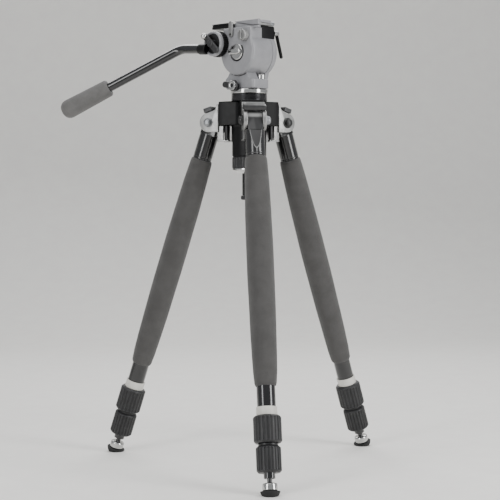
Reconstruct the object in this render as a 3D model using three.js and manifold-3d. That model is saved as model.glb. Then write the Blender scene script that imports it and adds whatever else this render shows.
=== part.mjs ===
// Fluid video head with a pan handle on a three-leg tripod, legs closed up and splayed.
// Millimetres, +Z up, the floor at z = 0, the front leg towards -Y.
import * as THREE from 'three';
import { mergeVertices } from 'three/addons/utils/BufferGeometryUtils.js';
import Module from 'manifold-3d';

const wasm = await Module();
wasm.setup();

// ---- Clearances and fineness ----
const FIT = 0.3; // gap between two pieces that touch
const RUN = 0.4; // radial gap of a piece that slides or turns in another

/** Facets of a round piece: few on small ones, more on large ones. */
const facets = (radius) => [12, 16, 20][Number(radius > 10) + Number(radius > 22)];

// ---- Legs: distances run up the leg's own axis from the floor ----
const LEG_LENGTH = 750; // floor to hinge pin
const SPLAY = THREE.MathUtils.degToRad(18.37);
const LEG_NAMES = ['right', 'left', 'front'];
const LEG_ANGLES = [30, 150, 270].map(THREE.MathUtils.degToRad);
const UPPER_TUBE = { radius: 18, wall: 1.5, bottom: 105 };
const TUBE_GAP = 2; // radial gap between one tube and the next, closed by the guides
const MIDDLE_TUBE = { radius: UPPER_TUBE.radius - UPPER_TUBE.wall - TUBE_GAP, wall: 1.5, bottom: 50, top: 660 };
const LOWER_TUBE = {
  radius: MIDDLE_TUBE.radius - MIDDLE_TUBE.wall - TUBE_GAP, wall: 1.2, bottom: 32, top: 645,
};
const GUIDE_LENGTH = 30; // thickened guide at the top of each sliding tube
const UPPER_COLLAR = { radius: UPPER_TUBE.radius + 9, bottom: 98, height: 52.5 };
const LOWER_COLLAR = { radius: MIDDLE_TUBE.radius + 9.5, bottom: 42.5, height: 50.5 };
const COLLAR_WEB = 6.5; // floor of a collar, under the outer tube's end
const COLLAR_RIBS = 18;
const RIB_DEPTH = 1.8;
const FERRULE = { radius: 14.5, bottom: 8.8, height: 15.2, stud: 6, studDepth: 4.2, stem: 5 };
const PLUG_LENGTH = 22; // foot plug inside the lowest tube
const PAD_RADIUS = 20;
const PAD_CENTRE = 12; // centre of the domed pad above the floor, along the leg
const SLEEVE_BOTTOM = 207;
// thickness of the foam sleeve at shares of its length
const SLEEVE_SWELL = [[0, 2.5], [0.05, 5.3], [0.45, 8.9], [0.72, 8.6], [1, 4.8]];

// ---- Leg hinges: distances from the hinge pin ----
const PIVOT_RADIUS = 83; // pin to column axis
const FITTING_RADIUS = UPPER_TUBE.radius + 1.8;
const FITTING_LENGTH = 79; // pin to the fitting's lower rim
const SOCKET_DEPTH = 17; // upper tube inside the fitting
const TONGUE_HALF = 15;
const TONGUE_RADIUS = 18.5;
const SHOULDER_DROP = 24.5;
const SCARF_POINT = 62; // pin to the point of the flat outer face
const SCARF_DEPTH = 6.6; // depth of that face level with the pin
const CHEEK_THICKNESS = 8;
const CHEEK_RADIUS = 20;
const CLEVIS_PLATE = 3.5;
const CLEVIS_RISE = 38.3; // top of the clevis plate above the pin
const TAB = { inner: 51, thickness: 4, drop: 39.8, foot: 3.5, footInner: 38 };
const POST = { radius: 4.7, at: 43 };
const PIN_RADIUS = 5;
const PIN_HEAD = { radius: 9.5, height: 10.5 };
const PIN_NUT = { radius: 11, height: 9.5 };
const CATCH = { length: 19, thickness: 10, rise: 27.2, tilt: THREE.MathUtils.degToRad(17) };
const CATCH_TONGUE = { width: 24, reach: 8.5, thickness: 5 };

// ---- Spider and column ----
const LOBE_HALF = 23.3;
const LOBE_END = 60;
const LOBE_FILLET = 15;
const SPIDER_HEIGHT = 50.3;
const SPIDER_DROP = 7.2; // underside below the hinge pins
const POCKET_HALF = 10; // hollow inside each lobe, open below
const POCKET_WALL = 7;
const SHANK_RADIUS = 35.6; // round housing under the spider
const SHANK_LENGTH = 63.5;
const SHANK_WALL = 4.6;
const COLUMN_RADIUS = 15;
const COLUMN_WALL = 2.4;
const COLUMN_LENGTH = 195;
const COLUMN_COLLAR_HEIGHT = 28;
const COLLAR_NOSE = 7; // cone under the column collar
const CAP = { radius: 17.5, height: 9.5, spigot: 10 };
const HEAD_PLATE = { radius: 37.5, height: 14.2, groove: 3, grooveDepth: 1 };
const PLATE_SPIGOT = 15;

// ---- Head: X towards the operator's side, Y towards the lens ----
const HEAD_YAW = THREE.MathUtils.degToRad(-141.9);
const PAN_RING = { radius: 38.5, height: 9.9 };
const SPINDLE = { radius: 12, height: 15 };
const BASE = { back: -18, front: 30, half: 41, height: 19, corner: 7, chamfer: 1.2 };
const HEEL = { back: -34, half: 21 }; // rear of the base, under the upright
const CRADLE = { back: 1.3, rise: 14, crest: 21, toe: 31, shoulder: -33, shoulderRise: 7.5 };
const DRUM_RADIUS = 48;
const DRUM_GAP = 8; // drum above the base block
const DRUM = { back: -21, front: 37, wall: 8, rim: 4, hub: 16 };
const UPRIGHT_HALF = 20;
const SHAFT = { radius: 8, end: 28, flange: 14, flangeThickness: 3 };
const SADDLE = { back: 3, half: 40, top: DRUM_RADIUS + 1.5 };
const KNOB_RECESS = { radius: 20, depth: 3 };
const DRAG_KNOB = { disc: 18.5, discThickness: 4, grip: 34, gripWidth: 11, stand: 10, stem: 4 };
const LOCK_KNOB = { radius: 12, height: 10.7, y: 24, z: 32 };
const LEVEL = { radius: 8.2, height: 10.2, x: -7.5, y: 27 };
const PAN_LEVER = {
  y: -4, rise: 6, hub: 11.4, inner: 39.5, thickness: 7.5, reach: 23, width: 13, stem: 5, stemEnd: 18.5,
};
const ROSETTE = { radius: 27, thickness: 12.7, y: -49, z: 18.5, teeth: 24, toothDepth: 1 };
const CLAMP = { radius: 26, thickness: 9.7, recess: 21, recessDepth: 4, socketLength: 21, socketEnd: 2 };
const SOCKET_WALL = 1.65;
const CLAMP_LEVER = {
  upper: 23, lower: 22.6, width: 11, thickness: 5.7, hub: 8, slope: THREE.MathUtils.degToRad(-43),
};
const LEVER_BALL = 6.5;
const HANDLE_RADIUS = 9.75;
const HANDLE_WALL = 1.8;
const HANDLE_SIDES = 12;
const HANDLE_Y = -64; // near end of the handle, beside the clamp
const HANDLE_Z = 8;
const HANDLE_SHORT = 78.5;
const HANDLE_LONG = 175;
const HANDLE_RISE = THREE.MathUtils.degToRad(4);
const HANDLE_AWAY = THREE.MathUtils.degToRad(36.4);
const HANDLE_DROP = THREE.MathUtils.degToRad(26.8);
const BEND_REACH = 16;
const BEND_STEPS = 4;
const GRIP = { length: 116, radius: 18, swell: 2, depth: 92 };
const HOUSING = { back: -34, deck: 3.4 };
const BED = {
  left: -18, right: 20, back: -91, front: 46, height: 4.8, stepHeight: 10.5, step: -44, groove: 7.6,
};
const PLATE = { left: -16, right: 18, back: -22, front: 48, height: 5.4 };
const JAW = { inner: 20.3, outer: 28, back: -14, front: 53, height: 14.5, slit: 1.4 };
const SCREW = { radius: 3.2, head: 7.5, headHeight: 4, x: 1, y: 13, recess: 0.7 };
const PLATE_LEVER = { y: -14, z: 36.2, length: 22, width: 11, thickness: 3.9 };
const BUTTON = { radius: 4.5, length: 12, y: 40 };
const SPRING_LEVER = {
  y: 37, z: 39.5, hub: 5.5, hubLength: 11.7, tipY: 51, tipZ: -9, width: 7, near: 6, far: 10,
};

// ---- Heights worked out from the sizes above ----
const PIVOT_Z = LEG_LENGTH * Math.cos(SPLAY);
const SPIDER_BOTTOM = PIVOT_Z - SPIDER_DROP;
const SPIDER_TOP = SPIDER_BOTTOM + SPIDER_HEIGHT;
const SHANK_BOTTOM = SPIDER_BOTTOM - SHANK_LENGTH;
const COLLAR_TOP = SHANK_BOTTOM - FIT;
const COLLAR_BOTTOM = COLLAR_TOP - COLUMN_COLLAR_HEIGHT;
const HEAD_PLATE_BOTTOM = SPIDER_TOP + 0.5;
const HEAD_PLATE_TOP = HEAD_PLATE_BOTTOM + HEAD_PLATE.height;
const COLUMN_TOP = HEAD_PLATE_BOTTOM - FIT;
const COLUMN_BOTTOM = COLUMN_TOP - COLUMN_LENGTH;
const PAN_RING_BOTTOM = HEAD_PLATE_TOP + FIT;
const PAN_RING_TOP = PAN_RING_BOTTOM + PAN_RING.height;
const BASE_BOTTOM = PAN_RING_TOP + FIT;
const BASE_TOP = BASE_BOTTOM + BASE.height;
const TILT_Z = BASE_TOP + DRUM_GAP + DRUM_RADIUS;
const DECK_BOTTOM = SADDLE.top + FIT;
const DECK_TOP = DECK_BOTTOM + HOUSING.deck;
const BED_BOTTOM = DECK_TOP + FIT;
const BED_TOP = BED_BOTTOM + BED.height;
const PLATE_BOTTOM = BED_TOP + FIT;
const PLATE_TOP = PLATE_BOTTOM + PLATE.height;
const CHEEK_INNER = TONGUE_HALF + FIT;
const CHEEK_OUTER = CHEEK_INNER + CHEEK_THICKNESS;
const CLEVIS_BACK = LOBE_END + FIT - PIVOT_RADIUS;
const SWEEP_RADIUS = DRUM_RADIUS + 1.3; // hollows the drum turns in

// ---- Finishes ----
const finish = (color, roughness, metalness) => ({ color, roughness, metalness });
const FINISHES = {
  greyPaint: finish(0xafafb1, 0.5, 0.1),
  blackCasting: finish(0x1c1c1d, 0.45, 0.3),
  satinAlloy: finish(0xb9bab8, 0.35, 0.9),
  glossBlack: finish(0x0b0b0c, 0.15, 0.5),
  chrome: finish(0xd8d8d6, 0.12, 1),
  foam: finish(0x5c5a58, 0.95, 0),
  ribbedRubber: finish(0x2b2b2c, 0.75, 0),
  rubber: finish(0x131313, 0.85, 0),
  steel: finish(0x8f9092, 0.3, 1),
};

// ---- Geometry helpers ----

/** True when a closed mesh faces outwards: the tetrahedra on its triangles add up to a positive volume. */
function facesOut(geometry) {
  const p = geometry.attributes.position;
  const corner = (i) => new THREE.Vector3().fromBufferAttribute(p, geometry.index.getX(i));
  let volume = 0;
  for (let i = 0; i < geometry.index.count; i += 3) {
    volume += corner(i).dot(corner(i + 1).cross(corner(i + 2)));
  }
  return volume > 0;
}

/** Merges shared vertices and turns the faces outwards. */
function closed(geometry) {
  const plain = geometry.clone();
  plain.deleteAttribute('normal');
  plain.deleteAttribute('uv');
  const merged = mergeVertices(plain, 1e-4);
  if (!facesOut(merged)) {
    merged.index.array.reverse();
  }
  return merged;
}

/** A three.js geometry as a solid that can be joined and cut. */
function solid(geometry) {
  const merged = closed(geometry);
  return new wasm.Manifold(new wasm.Mesh({
    numProp: 3,
    vertProperties: new Float32Array(merged.attributes.position.array),
    triVerts: new Uint32Array(merged.index.array),
  }));
}

/** A solid as a three.js geometry. */
function shell(body) {
  const mesh = body.getMesh();
  const geometry = new THREE.BufferGeometry();
  geometry.setAttribute('position', new THREE.BufferAttribute(new Float32Array(mesh.vertProperties), 3));
  geometry.setIndex(new THREE.BufferAttribute(new Uint32Array(mesh.triVerts), 1));
  geometry.computeVertexNormals();
  return geometry;
}

/** Joins a list of solids. */
const join = (bodies) => bodies.reduce((sum, body) => sum.add(body));

/** Turns a geometry made along Z so that its length runs along X, Y or Z. */
function turned(geometry, axis) {
  const basis = {
    x: [new THREE.Vector3(0, 1, 0), new THREE.Vector3(0, 0, 1), new THREE.Vector3(1, 0, 0)],
    y: [new THREE.Vector3(0, 0, 1), new THREE.Vector3(1, 0, 0), new THREE.Vector3(0, 1, 0)],
    z: [new THREE.Vector3(1, 0, 0), new THREE.Vector3(0, 1, 0), new THREE.Vector3(0, 0, 1)],
  }[axis];
  return geometry.applyMatrix4(new THREE.Matrix4().makeBasis(...basis));
}

/** A round piece turned about Z from [radius, height] points. */
function turning(points, sides = facets(Math.max(...points.map(([radius]) => radius)))) {
  const profile = points.map(([radius, height]) => new THREE.Vector2(radius, height));
  return new THREE.LatheGeometry(profile, sides).rotateX(Math.PI / 2);
}

/** A tube or ring about Z. */
const ring = (outer, inner, low, high) => turning(
  [[inner, low], [outer, low], [outer, high], [inner, high], [inner, low]],
);

/** A solid rod along an axis, between two stations on it. */
function rod(radius, from, to, axis = 'z', sides = facets(radius)) {
  const geometry = new THREE.CylinderGeometry(radius, radius, to - from, sides);
  geometry.rotateX(Math.PI / 2).rotateZ(Math.PI / 2).translate(0, 0, (from + to) / 2);
  return turned(geometry, axis);
}

/** A solid rod between two points. */
function rodBetween(start, end, radius) {
  const span = end.clone().sub(start);
  const turn = new THREE.Quaternion().setFromUnitVectors(new THREE.Vector3(0, 0, 1), span.clone().normalize());
  return rod(radius, 0, span.length()).applyQuaternion(turn).translate(start.x, start.y, start.z);
}

/** A box between two corners. */
function block(low, high) {
  const size = high.map((value, i) => value - low[i]);
  const middle = high.map((value, i) => (value + low[i]) / 2);
  return new THREE.BoxGeometry(...size).translate(...middle);
}

/** An outline from [a, b] corner points. */
const outline = (points) => new THREE.Shape(points.map(([a, b]) => new THREE.Vector2(a, b)));

/** A rectangle outline with rounded corners. */
function roundedRectangle(left, right, low, high, corner) {
  const shape = new THREE.Shape();
  shape.absarc(right - corner, high - corner, corner, 0, Math.PI / 2);
  shape.absarc(left + corner, high - corner, corner, Math.PI / 2, Math.PI);
  shape.absarc(left + corner, low + corner, corner, Math.PI, 1.5 * Math.PI);
  shape.absarc(right - corner, low + corner, corner, 1.5 * Math.PI, 2 * Math.PI);
  return shape;
}

/** A flat bar outline with round ends, from one end's centre to the other's. */
function strap(a, b, width) {
  const along = Math.atan2(b[1] - a[1], b[0] - a[0]);
  const shape = new THREE.Shape();
  shape.absarc(b[0], b[1], width / 2, along - Math.PI / 2, along + Math.PI / 2);
  shape.absarc(a[0], a[1], width / 2, along + Math.PI / 2, along + 1.5 * Math.PI);
  return shape;
}

/** A plate of an outline between two heights, its long edges chamfered. */
function plate(shape, low, high, chamfer = 0, curveSegments = 6) {
  return new THREE.ExtrudeGeometry(shape, {
    depth: high - low - 2 * chamfer,
    curveSegments,
    bevelEnabled: chamfer > 0,
    bevelThickness: chamfer,
    bevelSize: chamfer,
    bevelOffset: -chamfer,
    bevelSegments: 1,
  }).translate(0, 0, low + chamfer);
}

/** A plate whose outline is drawn in Y and Z, between two X stations. */
const plateX = (shape, low, high, chamfer, segments) => turned(plate(shape, low, high, chamfer, segments), 'x');

/** A plate whose outline is drawn in X and Z, between two Y stations. */
const plateY = (shape, low, high, chamfer, segments) => plate(shape, -high, -low, chamfer, segments)
  .rotateX(Math.PI / 2);

/** A round outline with evenly spaced pointed ribs or teeth. */
function ribbedOutline(radius, depth, count) {
  const pitch = (2 * Math.PI) / count;
  const polar = (r, angle) => [r * Math.cos(angle), r * Math.sin(angle)];
  const corners = [];
  for (let i = 0; i < count; i += 1) {
    corners.push(polar(radius, i * pitch));
    corners.push(polar(radius - depth, (i + 0.5) * pitch));
  }
  return outline(corners);
}

const object = new THREE.Group();

/** Adds one named piece to a group. */
function piece(parent, name, geometry, finishName) {
  const mesh = new THREE.Mesh(geometry, new THREE.MeshStandardMaterial(FINISHES[finishName]));
  mesh.name = name;
  parent.add(mesh);
  return mesh;
}

// ---- Spider: three flat-sided lobes round the column, with a round shank below ----

function spider() {
  const shape = new THREE.Shape();
  const filletCentre = (LOBE_HALF + LOBE_FILLET) / Math.sin(Math.PI / 3);
  const corner = (angle, side) => new THREE.Vector2(LOBE_END, side * LOBE_HALF)
    .rotateAround(new THREE.Vector2(), angle);
  LEG_ANGLES.forEach((angle, i) => {
    const end = corner(angle, -1);
    if (i === 0) {
      shape.moveTo(end.x, end.y);
    } else {
      shape.lineTo(end.x, end.y);
    }
    const next = corner(angle, 1);
    shape.lineTo(next.x, next.y);
    const middle = angle + Math.PI / 3;
    shape.absarc(
      filletCentre * Math.cos(middle),
      filletCentre * Math.sin(middle),
      LOBE_FILLET,
      angle - Math.PI / 2,
      angle - (5 / 6) * Math.PI,
      true,
    );
  });
  const body = solid(plate(shape, SPIDER_BOTTOM, SPIDER_TOP, 1.5, 4));
  const rim = SPIDER_BOTTOM + 1.5;
  const shank = solid(turning([
    [0, rim], [SHANK_RADIUS, rim], [SHANK_RADIUS, SHANK_BOTTOM], [SHANK_RADIUS - SHANK_WALL, SHANK_BOTTOM],
    [SHANK_RADIUS - SHANK_WALL, rim - POCKET_WALL], [0, rim - POCKET_WALL],
  ]));
  const bore = solid(rod(COLUMN_RADIUS + RUN, SHANK_BOTTOM - 1, SPIDER_TOP + 1));
  let casting = body.add(shank).subtract(bore);
  LEG_ANGLES.forEach((angle) => {
    const pocket = block(
      [SHANK_RADIUS + FIT, -POCKET_HALF, SPIDER_BOTTOM - 1],
      [LOBE_END - POCKET_WALL, POCKET_HALF, SPIDER_TOP - POCKET_WALL],
    ).rotateZ(angle);
    casting = casting.subtract(solid(pocket));
  });
  return shell(casting);
}

piece(object, 'spider', spider(), 'blackCasting');

// ---- One leg, built at its hinge: X outwards, Y across, Z up ----

/** The forked bracket that holds a leg, with its pin holes, tabs and posts. */
function hingeClevis() {
  const cheek = new THREE.Shape();
  cheek.moveTo(CLEVIS_BACK, -CHEEK_RADIUS);
  cheek.lineTo(0, -CHEEK_RADIUS);
  cheek.absarc(0, 0, CHEEK_RADIUS, -Math.PI / 2, THREE.MathUtils.degToRad(75));
  cheek.lineTo(CLEVIS_BACK + 2 * CLEVIS_PLATE, 0.7 * CLEVIS_RISE);
  cheek.lineTo(CLEVIS_BACK + CLEVIS_PLATE, CLEVIS_RISE);
  cheek.lineTo(CLEVIS_BACK, CLEVIS_RISE);
  const parts = [solid(block(
    [CLEVIS_BACK, -CHEEK_OUTER, -CHEEK_RADIUS],
    [CLEVIS_BACK + CLEVIS_PLATE, CHEEK_OUTER, CLEVIS_RISE],
  ))];
  [-1, 1].forEach((side) => {
    const span = (from, to) => [Math.min(side * from, side * to), Math.max(side * from, side * to)];
    const [low, high] = span(CHEEK_INNER, CHEEK_OUTER);
    const [tabLow, tabHigh] = span(CHEEK_INNER, CHEEK_INNER + TAB.thickness);
    const [footLow, footHigh] = span(CHEEK_INNER - 2, CHEEK_INNER + TAB.thickness + 2);
    const under = -SPIDER_DROP - FIT;
    const tabInner = TAB.inner - PIVOT_RADIUS;
    const tabOuter = CLEVIS_BACK + CLEVIS_PLATE;
    parts.push(solid(plateY(cheek, low, high)));
    parts.push(solid(block([tabInner, tabLow, -TAB.drop], [tabOuter, tabHigh, under])));
    parts.push(solid(block(
      [TAB.footInner - PIVOT_RADIUS, footLow, -TAB.drop],
      [tabOuter, footHigh, -TAB.drop + TAB.foot],
    )));
    parts.push(solid(
      rod(POST.radius, -TAB.drop + TAB.foot / 2, under, 'z', 6)
        .translate(POST.at - PIVOT_RADIUS, (footLow + footHigh) / 2, 0),
    ));
  });
  const pinHole = solid(rod(PIN_RADIUS + FIT, -CHEEK_OUTER - 1, CHEEK_OUTER + 1, 'y'));
  return shell(join(parts).subtract(pinHole));
}

/** The hinge pin: a domed head on one side and a flanged cap nut on the other. */
function hingeBolt() {
  const face = CHEEK_OUTER + FIT;
  const head = face + PIN_HEAD.height;
  const nut = -face - PIN_NUT.height;
  return turned(turning([
    [0, nut], [PIN_NUT.radius - 2, nut], [PIN_NUT.radius, -face], [PIN_RADIUS, -face],
    [PIN_RADIUS, face], [PIN_HEAD.radius, face], [PIN_HEAD.radius - 2, head - 2], [0, head],
  ], facets(PIN_RADIUS)), 'y');
}

/** The sprung catch over the hinge: a finger block with a tongue between the cheeks. */
function angleCatch() {
  const half = CATCH.length / 2;
  const low = -CATCH.thickness / 2;
  const finger = solid(block([-half, -CHEEK_OUTER, low], [half, CHEEK_OUTER, -low]));
  const tail = solid(block(
    [-half - CATCH_TONGUE.reach, -CATCH_TONGUE.width / 2, low],
    [-half + 2, CATCH_TONGUE.width / 2, low + CATCH_TONGUE.thickness],
  ));
  return shell(finger.add(tail));
}

/** The casting at the top of a leg: a tongue on the pin, a round body and a flat pointed face. */
function legFitting() {
  const barrel = solid(rod(FITTING_RADIUS, -FITTING_LENGTH, 0));
  const tongue = solid(rod(TONGUE_RADIUS, -TONGUE_HALF, TONGUE_HALF, 'y'));
  const reach = FITTING_RADIUS + 1;
  const shoulders = [-1, 1].map((side) => solid(block(
    [-reach, side > 0 ? TONGUE_HALF : -reach, -SHOULDER_DROP],
    [reach, side > 0 ? reach : -TONGUE_HALF, 1],
  )));
  // The back is flat beside the pin, so that it clears the clevis plate when the leg is folded.
  const back = solid(block([-reach, -reach, -SHOULDER_DROP], [-TONGUE_RADIUS, reach, 1]));
  const scarf = outline([
    [FITTING_RADIUS, -SCARF_POINT],
    [FITTING_RADIUS - SCARF_DEPTH, 0],
    [FITTING_RADIUS - SCARF_DEPTH - 3, TONGUE_RADIUS + 9],
    [FITTING_RADIUS + 15, TONGUE_RADIUS + 9],
    [FITTING_RADIUS + 15, -SCARF_POINT],
  ]);
  const scarfCut = solid(plateY(scarf, -reach, reach));
  const pinHole = solid(rod(PIN_RADIUS + RUN, -reach, reach, 'y'));
  const socket = solid(rod(
    UPPER_TUBE.radius + FIT,
    -FITTING_LENGTH - 1,
    -FITTING_LENGTH + SOCKET_DEPTH,
  ));
  const body = barrel.subtract(join(shoulders)).subtract(back).add(tongue);
  return shell(body.subtract(scarfCut).subtract(pinHole).subtract(socket));
}

/** A leg tube, with a thicker guide at the top where it slides in the next one. */
function legTube(tube, bottom, top, guideRadius) {
  const inner = tube.radius - tube.wall;
  const guideLow = top - GUIDE_LENGTH;
  return turning([
    [inner, bottom], [tube.radius, bottom], [tube.radius, guideLow], [guideRadius, guideLow + 1],
    [guideRadius, top], [inner, top], [inner, bottom],
  ]);
}

/** A ribbed twist collar, stepped inside round the ends of two tubes. */
function twistCollar(collar, outerTube, innerTube) {
  const top = collar.bottom + collar.height;
  const ribs = plate(ribbedOutline(collar.radius, RIB_DEPTH, COLLAR_RIBS), collar.bottom, top);
  const wide = rod(outerTube.radius + RUN, collar.bottom + COLLAR_WEB, top + 1);
  const narrow = rod(innerTube.radius + RUN, collar.bottom - 1, top);
  return shell(solid(ribs).subtract(solid(wide)).subtract(solid(narrow)));
}

/** The foam sleeve round the upper tube, swelling in the middle. */
function foamSleeve() {
  const top = LEG_LENGTH - FITTING_LENGTH - FIT;
  const inner = UPPER_TUBE.radius + FIT;
  const height = top - SLEEVE_BOTTOM;
  const outside = SLEEVE_SWELL.map(([share, foam]) => [
    UPPER_TUBE.radius + foam,
    SLEEVE_BOTTOM + share * height,
  ]);
  return turning([[inner, SLEEVE_BOTTOM], ...outside, [inner, top], [inner, SLEEVE_BOTTOM]], facets(inner));
}

/** The metal foot: a cup for the pad, a thin stem and a plug in the lowest tube. */
function footFerrule() {
  const plug = LOWER_TUBE.radius - LOWER_TUBE.wall - RUN;
  const studBottom = FERRULE.bottom - FERRULE.studDepth;
  const top = FERRULE.bottom + FERRULE.height;
  const plugBottom = LOWER_TUBE.bottom + 1;
  return turning([
    [0, studBottom], [FERRULE.stud, studBottom], [FERRULE.stud, FERRULE.bottom],
    [FERRULE.radius, FERRULE.bottom], [FERRULE.radius, top], [FERRULE.stem, top], [FERRULE.stem, plugBottom],
    [plug, plugBottom], [plug, plugBottom + PLUG_LENGTH], [0, plugBottom + PLUG_LENGTH],
  ], facets(plug));
}

/** The domed rubber pad, worn flat where it stands on the floor. */
function footPad() {
  const ball = new THREE.SphereGeometry(PAD_RADIUS, facets(PAD_RADIUS), 10).rotateX(Math.PI / 2);
  const dome = solid(ball.translate(0, 0, PAD_CENTRE));
  const size = 4 * PAD_RADIUS;
  const above = solid(block([-size, -size, FERRULE.bottom - FIT], [size, size, size]));
  const stud = solid(rod(FERRULE.stud + FIT, FERRULE.bottom - FERRULE.studDepth - FIT, size));
  const floor = solid(block([-size, -size, -size], [size, size, 0]).rotateY(SPLAY));
  return shell(dome.subtract(above).subtract(stud).subtract(floor));
}

const UPPER_TUBE_TOP = LEG_LENGTH - FITTING_LENGTH + SOCKET_DEPTH - FIT;
const UPPER_GUIDE = UPPER_TUBE.radius - UPPER_TUBE.wall - FIT;
const MIDDLE_GUIDE = MIDDLE_TUBE.radius - MIDDLE_TUBE.wall - FIT;
const legShapes = {
  clevis: hingeClevis(),
  bolt: hingeBolt(),
  latch: angleCatch(),
  fitting: legFitting(),
  upperTube: ring(UPPER_TUBE.radius, UPPER_TUBE.radius - UPPER_TUBE.wall, UPPER_TUBE.bottom, UPPER_TUBE_TOP),
  middleTube: legTube(MIDDLE_TUBE, MIDDLE_TUBE.bottom, MIDDLE_TUBE.top, UPPER_GUIDE),
  lowerTube: legTube(LOWER_TUBE, LOWER_TUBE.bottom, LOWER_TUBE.top, MIDDLE_GUIDE),
  upperCollar: twistCollar(UPPER_COLLAR, UPPER_TUBE, MIDDLE_TUBE),
  lowerCollar: twistCollar(LOWER_COLLAR, MIDDLE_TUBE, LOWER_TUBE),
  sleeve: foamSleeve(),
  ferrule: footFerrule(),
  pad: footPad(),
};

LEG_NAMES.forEach((name, i) => {
  const station = new THREE.Group();
  station.rotation.z = LEG_ANGLES[i];
  object.add(station);
  const hinge = new THREE.Group();
  hinge.position.set(PIVOT_RADIUS, 0, PIVOT_Z);
  station.add(hinge);
  piece(hinge, `hinge_clevis_${name}`, legShapes.clevis, 'satinAlloy');
  piece(hinge, `hinge_bolt_${name}`, legShapes.bolt, 'steel');
  const latch = piece(hinge, `angle_catch_${name}`, legShapes.latch, 'satinAlloy');
  latch.position.set(2, 0, CATCH.rise);
  latch.rotation.y = CATCH.tilt;

  const leg = new THREE.Group();
  leg.rotation.y = -SPLAY;
  hinge.add(leg);
  piece(leg, `leg_fitting_${name}`, legShapes.fitting, 'blackCasting');
  const foot = new THREE.Group();
  foot.position.z = -LEG_LENGTH;
  leg.add(foot);
  piece(foot, `upper_tube_${name}`, legShapes.upperTube, 'glossBlack');
  piece(foot, `foam_sleeve_${name}`, legShapes.sleeve, 'foam');
  piece(foot, `upper_collar_${name}`, legShapes.upperCollar, 'ribbedRubber');
  piece(foot, `middle_tube_${name}`, legShapes.middleTube, 'glossBlack');
  piece(foot, `lower_collar_${name}`, legShapes.lowerCollar, 'ribbedRubber');
  piece(foot, `lower_tube_${name}`, legShapes.lowerTube, 'glossBlack');
  piece(foot, `foot_ferrule_${name}`, legShapes.ferrule, 'chrome');
  piece(foot, `foot_pad_${name}`, legShapes.pad, 'rubber');
});

// ---- Column: tube, end cap, locking collar and the plate that carries the head ----

const columnInner = COLUMN_RADIUS - COLUMN_WALL;
piece(object, 'column_tube', ring(COLUMN_RADIUS, columnInner, COLUMN_BOTTOM, COLUMN_TOP), 'glossBlack');
piece(object, 'column_cap', turning([
  [0, COLUMN_BOTTOM - CAP.height], [CAP.radius - 2.5, COLUMN_BOTTOM - CAP.height],
  [CAP.radius, COLUMN_BOTTOM - CAP.height + 3], [CAP.radius, COLUMN_BOTTOM - FIT],
  [columnInner - FIT, COLUMN_BOTTOM - FIT], [columnInner - FIT, COLUMN_BOTTOM + CAP.spigot],
  [0, COLUMN_BOTTOM + CAP.spigot],
]), 'ribbedRubber');

/** The ribbed collar that grips the column, with a cone below. */
function columnCollar() {
  const ribs = solid(plate(ribbedOutline(SHANK_RADIUS, RIB_DEPTH, COLLAR_RIBS), COLLAR_BOTTOM, COLLAR_TOP));
  const nose = solid(turning([
    [0, COLLAR_BOTTOM - COLLAR_NOSE], [COLUMN_RADIUS + 6, COLLAR_BOTTOM - COLLAR_NOSE],
    [SHANK_RADIUS - 1, COLLAR_BOTTOM - 1.5], [SHANK_RADIUS - 1, COLLAR_BOTTOM + 0.5], [0, COLLAR_BOTTOM + 0.5],
  ]));
  const bore = solid(rod(COLUMN_RADIUS + RUN, COLLAR_BOTTOM - COLLAR_NOSE - 1, COLLAR_TOP + 1));
  return shell(ribs.add(nose).subtract(bore));
}

piece(object, 'column_collar', columnCollar(), 'ribbedRubber');

/** The round head plate, with a groove turned in its rim and a spigot in the column. */
function headPlate() {
  const groove = (HEAD_PLATE_BOTTOM + HEAD_PLATE_TOP) / 2;
  const spigot = columnInner - FIT;
  return turning([
    [0, COLUMN_TOP - PLATE_SPIGOT], [spigot, COLUMN_TOP - PLATE_SPIGOT], [spigot, HEAD_PLATE_BOTTOM],
    [HEAD_PLATE.radius, HEAD_PLATE_BOTTOM], [HEAD_PLATE.radius, groove - HEAD_PLATE.groove / 2],
    [HEAD_PLATE.radius - HEAD_PLATE.grooveDepth, groove], [HEAD_PLATE.radius, groove + HEAD_PLATE.groove / 2],
    [HEAD_PLATE.radius, HEAD_PLATE_TOP], [0, HEAD_PLATE_TOP],
  ]);
}

piece(object, 'head_plate', headPlate(), 'steel');

// ---- Head ----

const head = new THREE.Group();
head.rotation.z = HEAD_YAW;
object.add(head);
const tilt = new THREE.Group(); // origin on the tilt axis
tilt.position.z = TILT_Z;
head.add(tilt);

piece(head, 'pan_ring', turning([
  [0, PAN_RING_BOTTOM], [PAN_RING.radius - 1, PAN_RING_BOTTOM], [PAN_RING.radius, PAN_RING_BOTTOM + 1],
  [PAN_RING.radius, PAN_RING_TOP - 1], [PAN_RING.radius - 1, PAN_RING_TOP], [SPINDLE.radius, PAN_RING_TOP],
  [SPINDLE.radius, PAN_RING_TOP + SPINDLE.height], [0, PAN_RING_TOP + SPINDLE.height],
]), 'chrome');

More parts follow.
